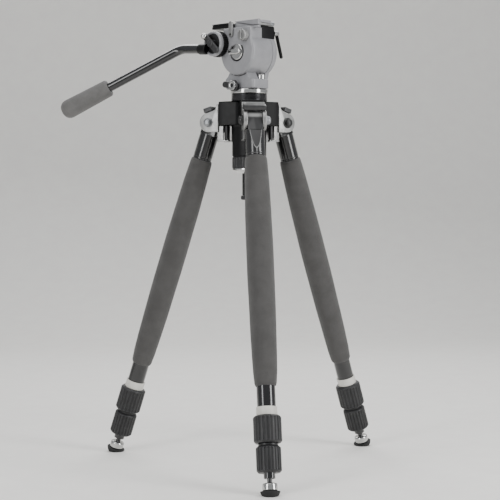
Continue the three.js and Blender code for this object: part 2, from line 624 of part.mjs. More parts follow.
/** The base casting: block, cradle under the drum and the upright beside it. */
function headBase() {
  const slab = solid(plate(
    roundedRectangle(BASE.back, BASE.front, -BASE.half, BASE.half, BASE.corner),
    BASE_BOTTOM,
    BASE_TOP,
    BASE.chamfer,
    3,
  ));
  const heel = solid(plate(
    roundedRectangle(HEEL.back, BASE.back + 8, -HEEL.half, HEEL.half, 4),
    BASE_BOTTOM,
    BASE_TOP,
    0,
    2,
  ));
  const root = BASE_TOP - 2;
  const cradle = solid(plateX(outline([
    [-BASE.half + 0.5, root], [CRADLE.toe, root], [CRADLE.crest, BASE_TOP + CRADLE.rise],
    [CRADLE.shoulder, BASE_TOP + CRADLE.rise], [CRADLE.shoulder, BASE_TOP + CRADLE.shoulderRise],
    [-BASE.half + 0.5, BASE_TOP - 1],
  ]), CRADLE.back, BASE.front - 0.5));
  const hollow = solid(rod(SWEEP_RADIUS, CRADLE.back - 1, BASE.front + 1, 'x').translate(0, 0, TILT_Z));
  const uprightFront = DRUM.back - 2 * FIT;
  const disc = solid(rod(DRUM_RADIUS, HEEL.back, uprightFront, 'x').translate(0, 0, TILT_Z));
  const arm = solid(block([HEEL.back, -UPRIGHT_HALF, root], [uprightFront, UPRIGHT_HALF, TILT_Z]));
  const bores = [
    rod(SPINDLE.radius + RUN, BASE_BOTTOM - 1, PAN_RING_TOP + SPINDLE.height + 1),
    rod(SHAFT.radius + FIT, HEEL.back - 1, uprightFront + 1, 'x').translate(0, 0, TILT_Z),
    rod(PAN_LEVER.stem + FIT, PAN_LEVER.stemEnd - 2 * FIT, BASE.front + 1, 'x')
      .translate(0, PAN_LEVER.y, BASE_BOTTOM + PAN_LEVER.rise),
  ].map((geometry) => solid(geometry));
  const body = join([slab, heel, cradle.subtract(hollow), disc, arm]);
  return shell(body.subtract(join(bores)));
}

piece(head, 'head_base', headBase(), 'greyPaint');

piece(tilt, 'tilt_shaft', turned(turning([
  [0, HEEL.back - FIT - SHAFT.flangeThickness], [SHAFT.flange, HEEL.back - FIT - SHAFT.flangeThickness],
  [SHAFT.flange, HEEL.back - FIT], [SHAFT.radius, HEEL.back - FIT], [SHAFT.radius, SHAFT.end], [0, SHAFT.end],
]), 'x'), 'steel');

const level = turning([
  [0, 0], [LEVEL.radius, 0], [LEVEL.radius, LEVEL.height - 1], [LEVEL.radius - 1, LEVEL.height],
  [0, LEVEL.height],
]);
piece(head, 'bubble_level', level, 'chrome').position.set(LEVEL.x, LEVEL.y, BASE_TOP + FIT);

/** The lever that locks the pan: a hub with a short arm, on a stem in the base. */
function panLever() {
  const outer = PAN_LEVER.inner + PAN_LEVER.thickness;
  const hub = solid(rod(PAN_LEVER.hub, PAN_LEVER.inner, outer, 'x'));
  const armOutline = strap([0, 0], [-PAN_LEVER.reach, 3], PAN_LEVER.width);
  const arm = solid(plateX(armOutline, PAN_LEVER.inner + 1, outer - 1));
  const stem = solid(rod(PAN_LEVER.stem, PAN_LEVER.stemEnd, PAN_LEVER.inner + 1, 'x'));
  return shell(join([hub, arm, stem]));
}

piece(head, 'pan_lock_lever', panLever(), 'greyPaint')
  .position.set(0, PAN_LEVER.y, BASE_BOTTOM + PAN_LEVER.rise);

/** The drum on the tilt shaft, with the square saddle and the slit jaw that holds the plate. */
function tiltDrum() {
  const barrel = solid(turned(turning([
    [0, DRUM.back], [DRUM_RADIUS, DRUM.back], [DRUM_RADIUS, DRUM.front - DRUM.rim],
    [DRUM_RADIUS - DRUM.rim, DRUM.front], [0, DRUM.front],
  ]), 'x'));
  const outlineYZ = roundedRectangle(-SADDLE.half, SADDLE.half, 0, SADDLE.top, 2);
  const saddle = solid(plateX(outlineYZ, SADDLE.back, DRUM.front, 0, 2));
  const jaw = solid(block(
    [JAW.inner, JAW.back, SADDLE.top - 1],
    [JAW.outer, JAW.front, SADDLE.top + JAW.height],
  ));
  const slitHigh = SADDLE.top + JAW.height - 3;
  const slitLow = SADDLE.top + 2;
  const slitEnd = SADDLE.half - 4;
  const slit = solid(plateX(outline([
    [JAW.back - 1, slitHigh], [slitEnd, slitLow],
    [slitEnd, slitLow + JAW.slit], [JAW.back - 1, slitHigh + JAW.slit],
  ]), JAW.inner - 1, JAW.outer + 1));
  const inside = DRUM.front - DRUM.wall;
  const cavity = solid(turned(ring(DRUM_RADIUS - DRUM.wall, DRUM.hub, DRUM.back - 1, inside), 'x'));
  const bore = solid(rod(SHAFT.radius + RUN, DRUM.back - 1, SHAFT.end + FIT, 'x'));
  const recess = solid(rod(KNOB_RECESS.radius, DRUM.front - KNOB_RECESS.depth, DRUM.front + 1, 'x'));
  const stemHole = solid(rod(DRAG_KNOB.stem + RUN, SHAFT.end, DRUM.front, 'x'));
  return shell(join([barrel, saddle, jaw]).subtract(join([slit, cavity, bore, recess, stemHole])));
}

piece(tilt, 'tilt_drum', tiltDrum(), 'greyPaint');

/** The black housing of the balance spring, over the drum and upright, with a deck over the saddle. */
function springHousing() {
  const shape = roundedRectangle(-SADDLE.half, SADDLE.half, 0, DECK_TOP, 2);
  const body = solid(plateX(shape, HOUSING.back, SADDLE.back - FIT, 0, 2));
  const deck = solid(block([HOUSING.back + 1, -SADDLE.half, DECK_BOTTOM], [BED.right, SADDLE.half, DECK_TOP]));
  const clearance = solid(rod(SWEEP_RADIUS, HOUSING.back - 1, SADDLE.back + 1, 'x'));
  return shell(body.subtract(clearance).add(deck));
}

piece(tilt, 'spring_housing', springHousing(), 'blackCasting');

const knobFace = DRUM.front - KNOB_RECESS.depth + RUN;
const knobDisc = knobFace + DRAG_KNOB.discThickness;
const gripEnd = (DRAG_KNOB.grip - DRAG_KNOB.gripWidth) / 2;
piece(tilt, 'tilt_drag_knob', shell(join([
  solid(rod(DRAG_KNOB.disc, knobFace, knobDisc, 'x')),
  solid(plateX(
    strap([-gripEnd, 0], [gripEnd, 0], DRAG_KNOB.gripWidth),
    knobDisc - 1,
    DRUM.front + DRAG_KNOB.stand,
  )),
  solid(rod(DRAG_KNOB.stem, SHAFT.end + 1, knobFace + 1, 'x')),
])), 'chrome');

const lockFace = DRUM.front + FIT;
piece(tilt, 'tilt_lock_knob', turned(turning([
  [0, lockFace], [LOCK_KNOB.radius, lockFace], [LOCK_KNOB.radius, lockFace + LOCK_KNOB.height - 1.5],
  [LOCK_KNOB.radius - 1.5, lockFace + LOCK_KNOB.height], [0, lockFace + LOCK_KNOB.height],
]), 'x'), 'greyPaint').position.set(0, LOCK_KNOB.y, LOCK_KNOB.z);

const rosetteFace = lockFace + ROSETTE.thickness;
const clampFace = rosetteFace + FIT;
const handleStart = new THREE.Vector3(clampFace + HANDLE_RADIUS + 1.5 * FIT, HANDLE_Y, HANDLE_Z);
piece(tilt, 'rosette', plateX(
  ribbedOutline(ROSETTE.radius, ROSETTE.toothDepth, ROSETTE.teeth),
  lockFace,
  rosetteFace,
), 'blackCasting').position.set(0, ROSETTE.y, ROSETTE.z);

// ---- Pan handle ----

const handleShort = new THREE.Vector3(0, -Math.cos(HANDLE_RISE), Math.sin(HANDLE_RISE));
const handleLong = new THREE.Vector3(
  Math.cos(HANDLE_DROP) * Math.sin(HANDLE_AWAY),
  -Math.cos(HANDLE_DROP) * Math.cos(HANDLE_AWAY),
  -Math.sin(HANDLE_DROP),
);
const handleBend = handleStart.clone().addScaledVector(handleShort, HANDLE_SHORT);
const gripStart = handleBend.clone().addScaledVector(handleLong, HANDLE_LONG);

/** The cupped clamp on the rosette, with a socket for the handle. */
function handleClamp() {
  const outer = clampFace + CLAMP.thickness;
  const cup = solid(turned(turning([
    [0, clampFace], [CLAMP.radius, clampFace], [CLAMP.radius, outer - 1], [CLAMP.radius - 1, outer],
    [CLAMP.recess, outer], [CLAMP.recess, outer - CLAMP.recessDepth], [0, outer - CLAMP.recessDepth],
  ]), 'x').translate(0, ROSETTE.y, ROSETTE.z));
  const along = (distance) => handleStart.clone().addScaledVector(handleShort, distance);
  const mouth = along(CLAMP.socketLength);
  const past = along(CLAMP.socketLength + 1);
  const bottom = along(-FIT);
  const socket = solid(rodBetween(along(-CLAMP.socketEnd), mouth, HANDLE_RADIUS + SOCKET_WALL));
  const behind = solid(block([0, mouth.y - CLAMP.radius, -CLAMP.radius], [clampFace, 0, 2 * CLAMP.radius]));
  const bore = solid(rodBetween(bottom, past, HANDLE_RADIUS + FIT));
  return shell(cup.add(socket.subtract(behind)).subtract(bore));
}

piece(tilt, 'handle_clamp', handleClamp(), 'greyPaint');

/** The two-armed lever that tightens the clamp, with a ball on its upper arm. */
function clampLever() {
  const inner = clampFace + CLAMP.thickness + FIT;
  const outer = inner + CLAMP_LEVER.thickness;
  const end = (reach) => [reach * Math.cos(CLAMP_LEVER.slope), reach * Math.sin(CLAMP_LEVER.slope)];
  const upper = end(-CLAMP_LEVER.upper);
  const bar = solid(plateX(strap(upper, end(CLAMP_LEVER.lower), CLAMP_LEVER.width), inner, outer, 0, 4));
  const hub = solid(rod(CLAMP_LEVER.hub, inner - CLAMP.recessDepth, inner + 1, 'x'));
  const ball = solid(new THREE.SphereGeometry(LEVER_BALL, 12, 6).translate(outer + 1, ...upper));
  return shell(join([bar, hub, ball]));
}

piece(tilt, 'clamp_lever', clampLever(), 'blackCasting').position.set(0, ROSETTE.y, ROSETTE.z);

/** Stations along the handle: straight, round the bend, straight. */
function handlePath() {
  const bendIn = handleBend.clone().addScaledVector(handleShort, -BEND_REACH);
  const bendOut = handleBend.clone().addScaledVector(handleLong, BEND_REACH);
  const bend = new THREE.QuadraticBezierCurve3(bendIn, handleBend, bendOut);
  const arc = bend.getPoints(BEND_STEPS);
  return [handleStart, ...arc, gripStart.clone().addScaledVector(handleLong, GRIP.depth - FIT)];
}

/** The rings of a round bar of one radius along stations that lie in one plane, joined end to end. */
function bar(stations, radius) {
  const across = new THREE.Vector3().crossVectors(handleShort, handleLong).normalize();
  const links = [];
  for (let i = 0; i + 1 < stations.length; i += 1) {
    links.push(stations[i + 1].clone().sub(stations[i]).normalize());
  }
  const positions = [];
  const indices = [];
  stations.forEach((station, i) => {
    const before = links[Math.max(i - 1, 0)];
    const after = links[Math.min(i, links.length - 1)];
    const out = new THREE.Vector3().crossVectors(across, before.clone().add(after)).normalize();
    const mitre = radius / Math.cos(before.angleTo(after) / 2);
    for (let k = 0; k < HANDLE_SIDES; k += 1) {
      const angle = (2 * Math.PI * k) / HANDLE_SIDES;
      const point = station.clone()
        .addScaledVector(out, mitre * Math.cos(angle))
        .addScaledVector(across, radius * Math.sin(angle));
      positions.push(point.x, point.y, point.z);
      const next = (k + 1) % HANDLE_SIDES;
      const [a, b] = [i * HANDLE_SIDES + k, i * HANDLE_SIDES + next];
      if (i + 1 < stations.length) {
        indices.push(a, b, b + HANDLE_SIDES, a, b + HANDLE_SIDES, a + HANDLE_SIDES);
      }
    }
  });
  const last = (stations.length - 1) * HANDLE_SIDES;
  for (let k = 1; k + 1 < HANDLE_SIDES; k += 1) {
    indices.push(0, k + 1, k, last, last + k, last + k + 1);
  }
  const geometry = new THREE.BufferGeometry();
  geometry.setAttribute('position', new THREE.BufferAttribute(new Float32Array(positions), 3));
  geometry.setIndex(indices);
  return geometry;
}

/** The bent handle tube, open at both ends. */
function handleTube() {
  const stations = handlePath();
  const hollow = stations.map((station) => station.clone());
  hollow[0].addScaledVector(handleShort, -1);
  hollow[hollow.length - 1].addScaledVector(handleLong, 1);
  return shell(solid(bar(stations, HANDLE_RADIUS)).subtract(solid(bar(hollow, HANDLE_RADIUS - HANDLE_WALL))));
}

piece(tilt, 'handle_tube', handleTube(), 'glossBlack');

const gripBore = HANDLE_RADIUS + FIT;
const gripEdge = GRIP.radius + GRIP.swell;
const grip = turning([
  [gripBore, 0], [GRIP.radius - 1, 0], [GRIP.radius, 2], [gripEdge, 0.84 * GRIP.length],
  [0.94 * gripEdge, 0.94 * GRIP.length], [0.62 * gripEdge, GRIP.length], [0, GRIP.length],
  [0, GRIP.depth], [gripBore, GRIP.depth], [gripBore, 0],
]);
const gripMesh = piece(tilt, 'handle_grip', grip, 'foam');
gripMesh.quaternion.setFromUnitVectors(new THREE.Vector3(0, 0, 1), handleLong);
gripMesh.position.copy(gripStart);

// ---- Camera plate and its fastenings, on top of the saddle ----

/** The sliding bed: a low bar with a raised, grooved rear end and a safety button on its far side. */
function plateBed() {
  const bar = solid(block([BED.left, BED.back, BED_BOTTOM], [BED.right, BED.front, BED_TOP]));
  const step = solid(block(
    [BED.left, BED.back, BED_TOP - 1],
    [BED.right, BED.step, BED_BOTTOM + BED.stepHeight],
  ));
  const grooveZ = BED_BOTTOM + BED.groove;
  const groove = solid(block(
    [BED.right - 1, BED.back - 1, grooveZ],
    [BED.right + 1, BED.step + 1, grooveZ + 1.6],
  ));
  const screwPocket = solid(rod(SCREW.head + RUN, BED_TOP - SCREW.headHeight - 2 * FIT, BED_TOP + 1)
    .translate(SCREW.x, SCREW.y, 0));
  const button = solid(rod(BUTTON.radius, BED.left - BUTTON.length, BED.left + 1, 'x')
    .translate(0, BUTTON.y, BED_BOTTOM + BUTTON.radius));
  return shell(join([bar, step, button]).subtract(join([groove, screwPocket])));
}

piece(tilt, 'plate_bed', plateBed(), 'blackCasting');

const cameraPlate = solid(block([PLATE.left, PLATE.back, PLATE_BOTTOM], [PLATE.right, PLATE.front, PLATE_TOP]))
  .subtract(solid(rod(SCREW.radius + RUN, PLATE_BOTTOM - 1, PLATE_TOP + 1).translate(SCREW.x, SCREW.y, 0)));
piece(tilt, 'camera_plate', shell(cameraPlate), 'greyPaint');

const screwHeadTop = PLATE_BOTTOM - 2 * FIT;
piece(tilt, 'camera_screw', turning([
  [0, screwHeadTop - SCREW.headHeight], [SCREW.head, screwHeadTop - SCREW.headHeight],
  [SCREW.head, screwHeadTop], [SCREW.radius, screwHeadTop], [SCREW.radius, PLATE_TOP - SCREW.recess - 0.6],
  [SCREW.radius - 0.6, PLATE_TOP - SCREW.recess], [0, PLATE_TOP - SCREW.recess],
]), 'steel').position.set(SCREW.x, SCREW.y, 0);

piece(tilt, 'plate_lever', plateX(
  strap([0, 0], [0, PLATE_LEVER.length], PLATE_LEVER.width),
  DRUM.front + 2 * FIT,
  DRUM.front + 2 * FIT + PLATE_LEVER.thickness,
), 'satinAlloy').position.set(0, PLATE_LEVER.y, PLATE_LEVER.z);

/** The balance spring's lever: a light hub with a dark arm hanging from it. */
function springLever() {
  const outer = HOUSING.back - FIT;
  const hub = solid(rod(SPRING_LEVER.hub, outer - SPRING_LEVER.hubLength, outer, 'x'));
  const tip = [SPRING_LEVER.tipY - SPRING_LEVER.y, SPRING_LEVER.tipZ - SPRING_LEVER.z];
  const armOutline = strap([0, 0], tip, SPRING_LEVER.width);
  const arm = solid(plateX(armOutline, outer - SPRING_LEVER.far, outer - SPRING_LEVER.near));
  return shell(hub.add(arm));
}

piece(tilt, 'spring_lever', springLever(), 'blackCasting').position.set(0, SPRING_LEVER.y, SPRING_LEVER.z);

// The origin is on the floor under the middle of the bounding box.
const box = new THREE.Box3().setFromObject(object, true);
const middle = box.getCenter(new THREE.Vector3());
object.position.set(-middle.x, -middle.y, 0);

export default object;
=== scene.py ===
"""Looks of a fluid video head with a pan handle on a three-leg tripod.

Lengths in the classes are millimetres. Each sub-assembly works in its own local frame and
places its pieces in the row frame, in metres, through a Place.
"""

import logging  # noqa: E402
import math  # noqa: E402
from collections.abc import Callable, Sequence  # noqa: E402
from dataclasses import dataclass, field  # noqa: E402
from enum import Enum  # noqa: E402

import bmesh  # noqa: E402
import bpy  # noqa: E402
import numpy as np  # noqa: E402
from mathutils import Euler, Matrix, Vector  # noqa: E402


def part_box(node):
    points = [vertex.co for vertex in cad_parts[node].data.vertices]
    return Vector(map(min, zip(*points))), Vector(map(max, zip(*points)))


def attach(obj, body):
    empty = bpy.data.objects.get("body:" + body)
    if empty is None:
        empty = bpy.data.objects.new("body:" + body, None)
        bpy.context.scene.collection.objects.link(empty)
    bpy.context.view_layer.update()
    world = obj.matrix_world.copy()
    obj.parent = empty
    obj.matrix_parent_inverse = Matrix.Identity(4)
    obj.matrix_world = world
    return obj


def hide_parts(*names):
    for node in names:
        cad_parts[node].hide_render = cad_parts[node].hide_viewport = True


LOG = logging.getLogger("tripod")
SPLAY = math.radians(18.37)
HEAD_YAW = math.radians(-141.9)
GAP = 0.3  # between two pieces that meet


# ---------------------------------------------------------------- shapes


@dataclass
class Shell:
    """A closed surface in a local frame: points in millimetres, four-sided faces and flat caps."""

    points: np.ndarray
    quads: np.ndarray
    caps: list[list[int]] = field(default_factory=list)
    mask: np.ndarray | None = None

    def shifted(self, x: float = 0.0, y: float = 0.0, z: float = 0.0) -> "Shell":
        """The same shell moved by (x, y, z)."""
        return Shell(self.points + np.array([x, y, z]), self.quads, self.caps, self.mask)

    def facing(self, axis: str) -> "Shell":
        """The same shell with its Z turned to run along X or Y, the other two following in cyclic order."""
        order = {"x": [2, 0, 1], "y": [1, 2, 0]}[axis]
        return Shell(self.points[:, order], self.quads, self.caps, self.mask)


def woven(points: np.ndarray, round_u: bool = True, round_v: bool = False, caps: bool = False) -> Shell:
    """Joins neighbouring points of a grid with four-sided faces.

    Point (i, j) is joined to (i+1, j), (i+1, j+1) and (i, j+1), each index wrapping where the grid is round.

    Args:
        points: The grid, u by v by 3.
        round_u: Whether the last row joins the first.
        round_v: Whether the last column joins the first.
        caps: Whether the first and last columns are closed with one flat face each.

    Returns:
        The shell.
    """
    rows, columns = points.shape[:2]
    i = np.arange(rows if round_u else rows - 1)[:, None]
    j = np.arange(columns if round_v else columns - 1)[None, :]
    next_i, next_j = (i + 1) % rows, (j + 1) % columns
    corners = [i * columns + j, next_i * columns + j, next_i * columns + next_j, i * columns + next_j]
    quads = np.stack(np.broadcast_arrays(*corners), -1).reshape(-1, 4)
    ends = [(np.arange(rows) * columns)[::-1].tolist(), (np.arange(rows) * columns + columns - 1).tolist()]
    return Shell(points.reshape(-1, 3), quads, ends if caps else [])


def softened(
    corners: Sequence[Sequence[float]], radius: float, closed: bool = False, steps: int = 4
) -> np.ndarray:
    """Rounds the corners of a line: each becomes a short parabola that starts and ends one radius away.

    Args:
        corners: The corner points, [a, b] each.
        radius: The reach of the rounding, kept under half of each side.
        closed: Whether the line returns to its start.
        steps: Points on each rounded corner.

    Returns:
        The points of the rounded line.
    """
    p = np.asarray(corners, float)
    before, after = np.roll(p, 1, 0) - p, np.roll(p, -1, 0) - p
    lengths = [np.linalg.norm(side, axis=1, keepdims=True) for side in (before, after)]
    starts = p + before * np.minimum(radius / lengths[0], 0.48)
    ends = p + after * np.minimum(radius / lengths[1], 0.48)
    s = np.linspace(0, 1, steps)[None, :, None]
    curves = (1 - s) ** 2 * starts[:, None] + 2 * s * (1 - s) * p[:, None] + s**2 * ends[:, None]
    if closed:
        return curves.reshape(-1, 2)
    return np.vstack([p[:1], curves[1:-1].reshape(-1, 2), p[-1:]])


def arc(centre: Sequence[float], radius: float, start: float, end: float, steps: int = 16) -> np.ndarray:
    """Points on a circle: the centre plus radius times (cos a, sin a).

    Args:
        centre: The circle's centre.
        radius: Its radius.
        start: The first angle, in degrees.
        end: The last angle, in degrees.
        steps: Points on the arc.

    Returns:
        The points in order.
    """
    a = np.radians(np.linspace(start, end, steps))
    return np.asarray(centre, float) + radius * np.stack([np.cos(a), np.sin(a)], 1)


def strap(start: Sequence[float], end: Sequence[float], width: float) -> np.ndarray:
    """A bar outline with round ends: a half circle about each end, turned to the bar's direction.

    Args:
        start: The centre of one round end.
        end: The centre of the other.
        width: The bar's width.

    Returns:
        The closed outline.
    """
    turn = math.degrees(math.atan2(end[1] - start[1], end[0] - start[0]))
    return np.vstack([
        arc(end, width / 2, turn - 90, turn + 90),
        arc(start, width / 2, turn + 90, turn + 270),
    ])


def rectangle(left: float, right: float, low: float, high: float, corner: float) -> np.ndarray:
    """A rectangle outline with rounded corners.

    Args:
        left: Its least first coordinate.
        right: Its greatest first coordinate.
        low: Its least second coordinate.
        high: Its greatest second coordinate.
        corner: The reach of the rounding.

    Returns:
        The closed outline.
    """
    return softened([[left, low], [right, low], [right, high], [left, high]], corner, True, 6)


def lathe(profile: np.ndarray | Sequence[Sequence[float]], sides: int = 72, soft: float = 0.0,
          swell: Callable[[np.ndarray, np.ndarray], np.ndarray] | None = None, loop: bool = False) -> Shell:
    """Turns a profile about Z: the point at angle a is (r cos a, r sin a, z).

    Args:
        profile: [radius, height] points, from the axis to the axis, or a loop round a hollow.
        sides: Points round the circle.
        soft: Rounding of the profile's corners.
        swell: Adds to the radius, from the angles and the profile's heights.
        loop: Whether the profile closes on itself.

    Returns:
        The shell.
    """
    line = softened(profile, soft, loop) if soft > 0 else np.asarray(profile, float)
    angle = np.linspace(0, 2 * math.pi, sides, endpoint=False)[:, None]
    radius = np.broadcast_to(line[None, :, 0], (sides, len(line))).copy()
    if swell is not None:
        radius += swell(angle, line[None, :, 1]) * (line[None, :, 0] > 0)
    height = np.broadcast_to(line[None, :, 1], radius.shape)
    grid = np.stack([radius * np.cos(angle), radius * np.sin(angle), height], -1)
    return woven(grid, round_v=loop)


def slab(outline: np.ndarray, low: float, high: float, edge: float = 0.8, steps: int = 4) -> Shell:
    """A plate of an outline with rounded long edges.

    Each level is the outline moved inwards along its mitred normals by edge times (1 - sin t), at a height
    edge times (1 - cos t) from the plate's face, with t from 0 to a right angle.

    Args:
        outline: The closed outline, points in order.
        low: Height of the lower face.
        high: Height of the upper face.
        edge: Radius of the rounded edges.
        steps: Levels on each rounded edge.

    Returns:
        The shell.
    """
    p = np.asarray(outline, float)
    keep = np.linalg.norm(p - np.roll(p, 1, 0), axis=1) > 1e-6
    p = p[keep]
    area = np.sum(p[:, 0] * np.roll(p[:, 1], -1) - np.roll(p[:, 0], -1) * p[:, 1])
    p = p if area > 0 else p[::-1]
    side = np.roll(p, -1, 0) - p
    side /= np.linalg.norm(side, axis=1, keepdims=True)
    normal = np.stack([side[:, 1], -side[:, 0]], 1)
    mitre = normal + np.roll(normal, 1, 0)
    mitre /= np.maximum(np.sum(mitre * mitre, 1, keepdims=True) / 2, 0.5)
    t = np.linspace(0, math.pi / 2, steps)
    inset = np.concatenate([edge * (1 - np.sin(t)), (edge * (1 - np.sin(t)))[::-1]])
    climb = edge * (1 - np.cos(t))
    height = np.concatenate([low + climb, (high - climb)[::-1]])
    flat = p[:, None, :] - mitre[:, None, :] * inset[None, :, None]
    grid = np.concatenate([flat, np.broadcast_to(height[None, :, None], (*flat.shape[:2], 1))], -1)
    return woven(grid, caps=True)


def swept(path: np.ndarray, across: np.ndarray, radii: np.ndarray, sides: int = 48) -> Shell:
    """A round bar along a flat path: each ring is (out cos a + across sin a) times the radius.

    out is the path's direction turned a right angle in the path's own plane.

    Args:
        path: Points along the middle of the bar.
        across: The direction square to the path's plane.
        radii: The bar's radius at each point.
        sides: Points round each ring.

    Returns:
        The shell.
    """
    along = np.gradient(path, axis=0)
    along /= np.linalg.norm(along, axis=1, keepdims=True)
    out = np.cross(across, along)
    a = np.linspace(0, 2 * math.pi, sides, endpoint=False)[:, None, None]
    ring = out[None] * np.cos(a) + across[None, None] * np.sin(a)
    return woven(path[None] + ring * np.asarray(radii)[None, :, None], caps=True)


def ribs(count: int, depth: float, low: float, high: float, fade: float = 3.0, sharp: float = 3.0) -> Callable:
    """Ribs round a turned piece: depth times (a squared-off cosine of count times the angle, less one).

    Args:
        count: Ribs round the circle.
        depth: Depth of the hollows between them.
        low: Height where the ribs start.
        high: Height where they end.
        fade: Length over which they fade in.
        sharp: How square the ribs are.

    Returns:
        The function of angle and height that lathe() adds to the radius.
    """

    def swell(angle: np.ndarray, height: np.ndarray) -> np.ndarray:
        """The change of radius at each angle and height."""
        wave = np.tanh(sharp * (np.cos(count * angle) + 0.25)) / math.tanh(sharp * 1.25)
        ramp = np.clip(np.minimum(height - low, high - height) / fade, 0, 1)
        return depth * 0.5 * (wave - 1) * ramp

    return swell


# ---------------------------------------------------------------- places


@dataclass(frozen=True)
class Place:
    """A local frame: its origin in the row frame, in millimetres, and its three axes as rows."""

    origin: np.ndarray
    axes: np.ndarray

    def row(self, points: np.ndarray) -> np.ndarray:
        """Local millimetres in row-frame metres: the origin plus each coordinate along its axis."""
        return (self.origin + points @ self.axes) / 1000

    def moved(self, x: float = 0.0, y: float = 0.0, z: float = 0.0) -> "Place":
        """The same frame with its origin moved along its own axes."""
        return Place(self.origin + np.array([x, y, z]) @ self.axes, self.axes)

    def turned(self, angle: float, axis: int = 2) -> "Place":
        """The same frame turned about one of its own axes, by an angle in radians."""
        c, s = math.cos(angle), math.sin(angle)
        a, b = [(1, 2), (2, 0), (0, 1)][axis]
        axes = self.axes.copy()
        axes[a] = c * self.axes[a] + s * self.axes[b]
        axes[b] = c * self.axes[b] - s * self.axes[a]
        return Place(self.origin, axes)


# ---------------------------------------------------------------- materials


def linear(colour: str, alpha: float = 1.0) -> tuple[float, float, float, float]:
    """Turns an sRGB hex colour linear: c/12.92 below 0.04045, else ((c+0.055)/1.055) to the power 2.4.

    Args:
        colour: The colour, #rrggbb.
        alpha: Its opacity.

    Returns:
        Red, green, blue and alpha.
    """
    levels = [int(colour[i : i + 2], 16) / 255 for i in (1, 3, 5)]
    return (*[c / 12.92 if c <= 0.04045 else ((c + 0.055) / 1.055) ** 2.4 for c in levels], alpha)


def add(tree: bpy.types.NodeTree, kind: str, inputs: dict | None = None, **settings: object) -> bpy.types.Node:
    """Adds a node with its settings and links.

    Args:
        tree: The material's node tree.
        kind: The node's type, without ShaderNode.
        inputs: Socket name or number to a value or to an output socket.
        settings: The node's own settings.

    Returns:
        The node.
    """
    node = tree.nodes.new("ShaderNode" + kind)
    for name, value in settings.items():
        setattr(node, name, value)
    for name, value in (inputs or {}).items():
        if isinstance(value, bpy.types.NodeSocket):
            tree.links.new(value, node.inputs[name])
        else:
            node.inputs[name].default_value = value
    return node


class Grain(Enum):
    """How the fine texture of a finish was made."""

    SPRAYED = "noise"
    CELLS = "cells"
    BRUSHED = "brushed"


@dataclass(frozen=True)
class Finish:
    """A surface: its colours, how it was made and how it shines.

    colour and patch are mixed by soft clouds of cloud_mm; grain_mm is the size of the fine texture and
    depth_mm its height; smear_mm is the size of the marks that change the roughness.
    """

    name: str
    colour: str
    patch: str
    metallic: float
    roughness: float
    swing: float
    grain_mm: float
    depth_mm: float
    cloud_mm: float = 25.0
    smear_mm: float = 9.0
    grain: Grain = Grain.SPRAYED
    coat: float = 0.0
    sheen: float = 0.0
    specular: float = 0.5

    def stretch(self) -> tuple[float, float, float]:
        """Scale of the fine texture along each axis, per metre: 1000 over its size, finer where it is brushed."""
        fine = 1000 / self.grain_mm
        return (fine, fine, fine * 12) if self.grain is Grain.BRUSHED else (fine, fine, fine)

    def height(self, tree: bpy.types.NodeTree, coords: bpy.types.NodeSocket) -> bpy.types.NodeSocket:
        """The fine texture's height, from 0 to 1."""
        scaled = add(tree, "Mapping", {"Vector": coords, "Scale": self.stretch()}).outputs[0]
        if self.grain is Grain.CELLS:
            cells = add(tree, "TexVoronoi", {"Vector": scaled, "Scale": 1.0}, feature="SMOOTH_F1")
            speck = add(tree, "TexNoise", {"Vector": scaled, "Scale": 2.3, "Detail": 2.0})
            return add(tree, "Math", {0: cells.outputs["Distance"], 1: speck.outputs[0]}, operation="ADD").outputs[0]
        return add(tree, "TexNoise", {"Vector": scaled, "Scale": 1.0, "Detail": 3.0, "Roughness": 0.6}).outputs[0]

    def tint(self, tree: bpy.types.NodeTree, coords: bpy.types.NodeSocket) -> bpy.types.NodeSocket:
        """The colour, drifting softly between the two tones."""
        cloud = add(tree, "TexNoise", {
            "Vector": coords, "Scale": 1000 / self.cloud_mm, "Detail": 4.0, "Roughness": 0.65,
        })
        ramp = add(tree, "MapRange", {0: cloud.outputs[0], 1: 0.35, 2: 0.65, 3: 0.0, 4: 1.0})
        mixed = add(tree, "Mix", {
            0: ramp.outputs[0], 6: linear(self.colour), 7: linear(self.patch),
        }, data_type="RGBA")
        return mixed.outputs[2]

    def material(self) -> bpy.types.Material:
        """Builds the material, or finds it where it was built before."""
        made = bpy.data.materials.get(self.name)
        if made is not None:
            return made
        made = bpy.data.materials.new(self.name)
        made.use_nodes = True
        tree = made.node_tree
        shader = tree.nodes["Principled BSDF"]
        coords = add(tree, "TexCoord").outputs["Object"]
        smear = add(tree, "TexNoise", {
            "Vector": coords, "Scale": 1000 / self.smear_mm, "Detail": 5.0, "Roughness": 0.7,
        })
        rough = add(tree, "MapRange", {
            0: smear.outputs[0], 1: 0.3, 2: 0.7, 3: self.roughness - self.swing, 4: self.roughness + self.swing,
        })
        bump = add(tree, "Bump", {
            "Height": self.height(tree, coords), "Distance": self.depth_mm / 1000, "Strength": 1.0,
        })
        tree.links.new(self.tint(tree, coords), shader.inputs["Base Color"])
        tree.links.new(rough.outputs[0], shader.inputs["Roughness"])
        tree.links.new(bump.outputs[0], shader.inputs["Normal"])
        shader.inputs["Metallic"].default_value = self.metallic
        shader.inputs["Specular IOR Level"].default_value = self.specular
        shader.inputs["Coat Weight"].default_value = self.coat
        shader.inputs["Coat Roughness"].default_value = 0.08
        shader.inputs["Sheen Weight"].default_value = self.sheen
        shader.inputs["Sheen Roughness"].default_value = 0.6
        self.finished(tree, shader, coords)
        return made

    def finished(self, tree: bpy.types.NodeTree, shader: bpy.types.Node, coords: bpy.types.NodeSocket) -> None:
        """Last changes of a finish of its own kind; a plain finish has none."""


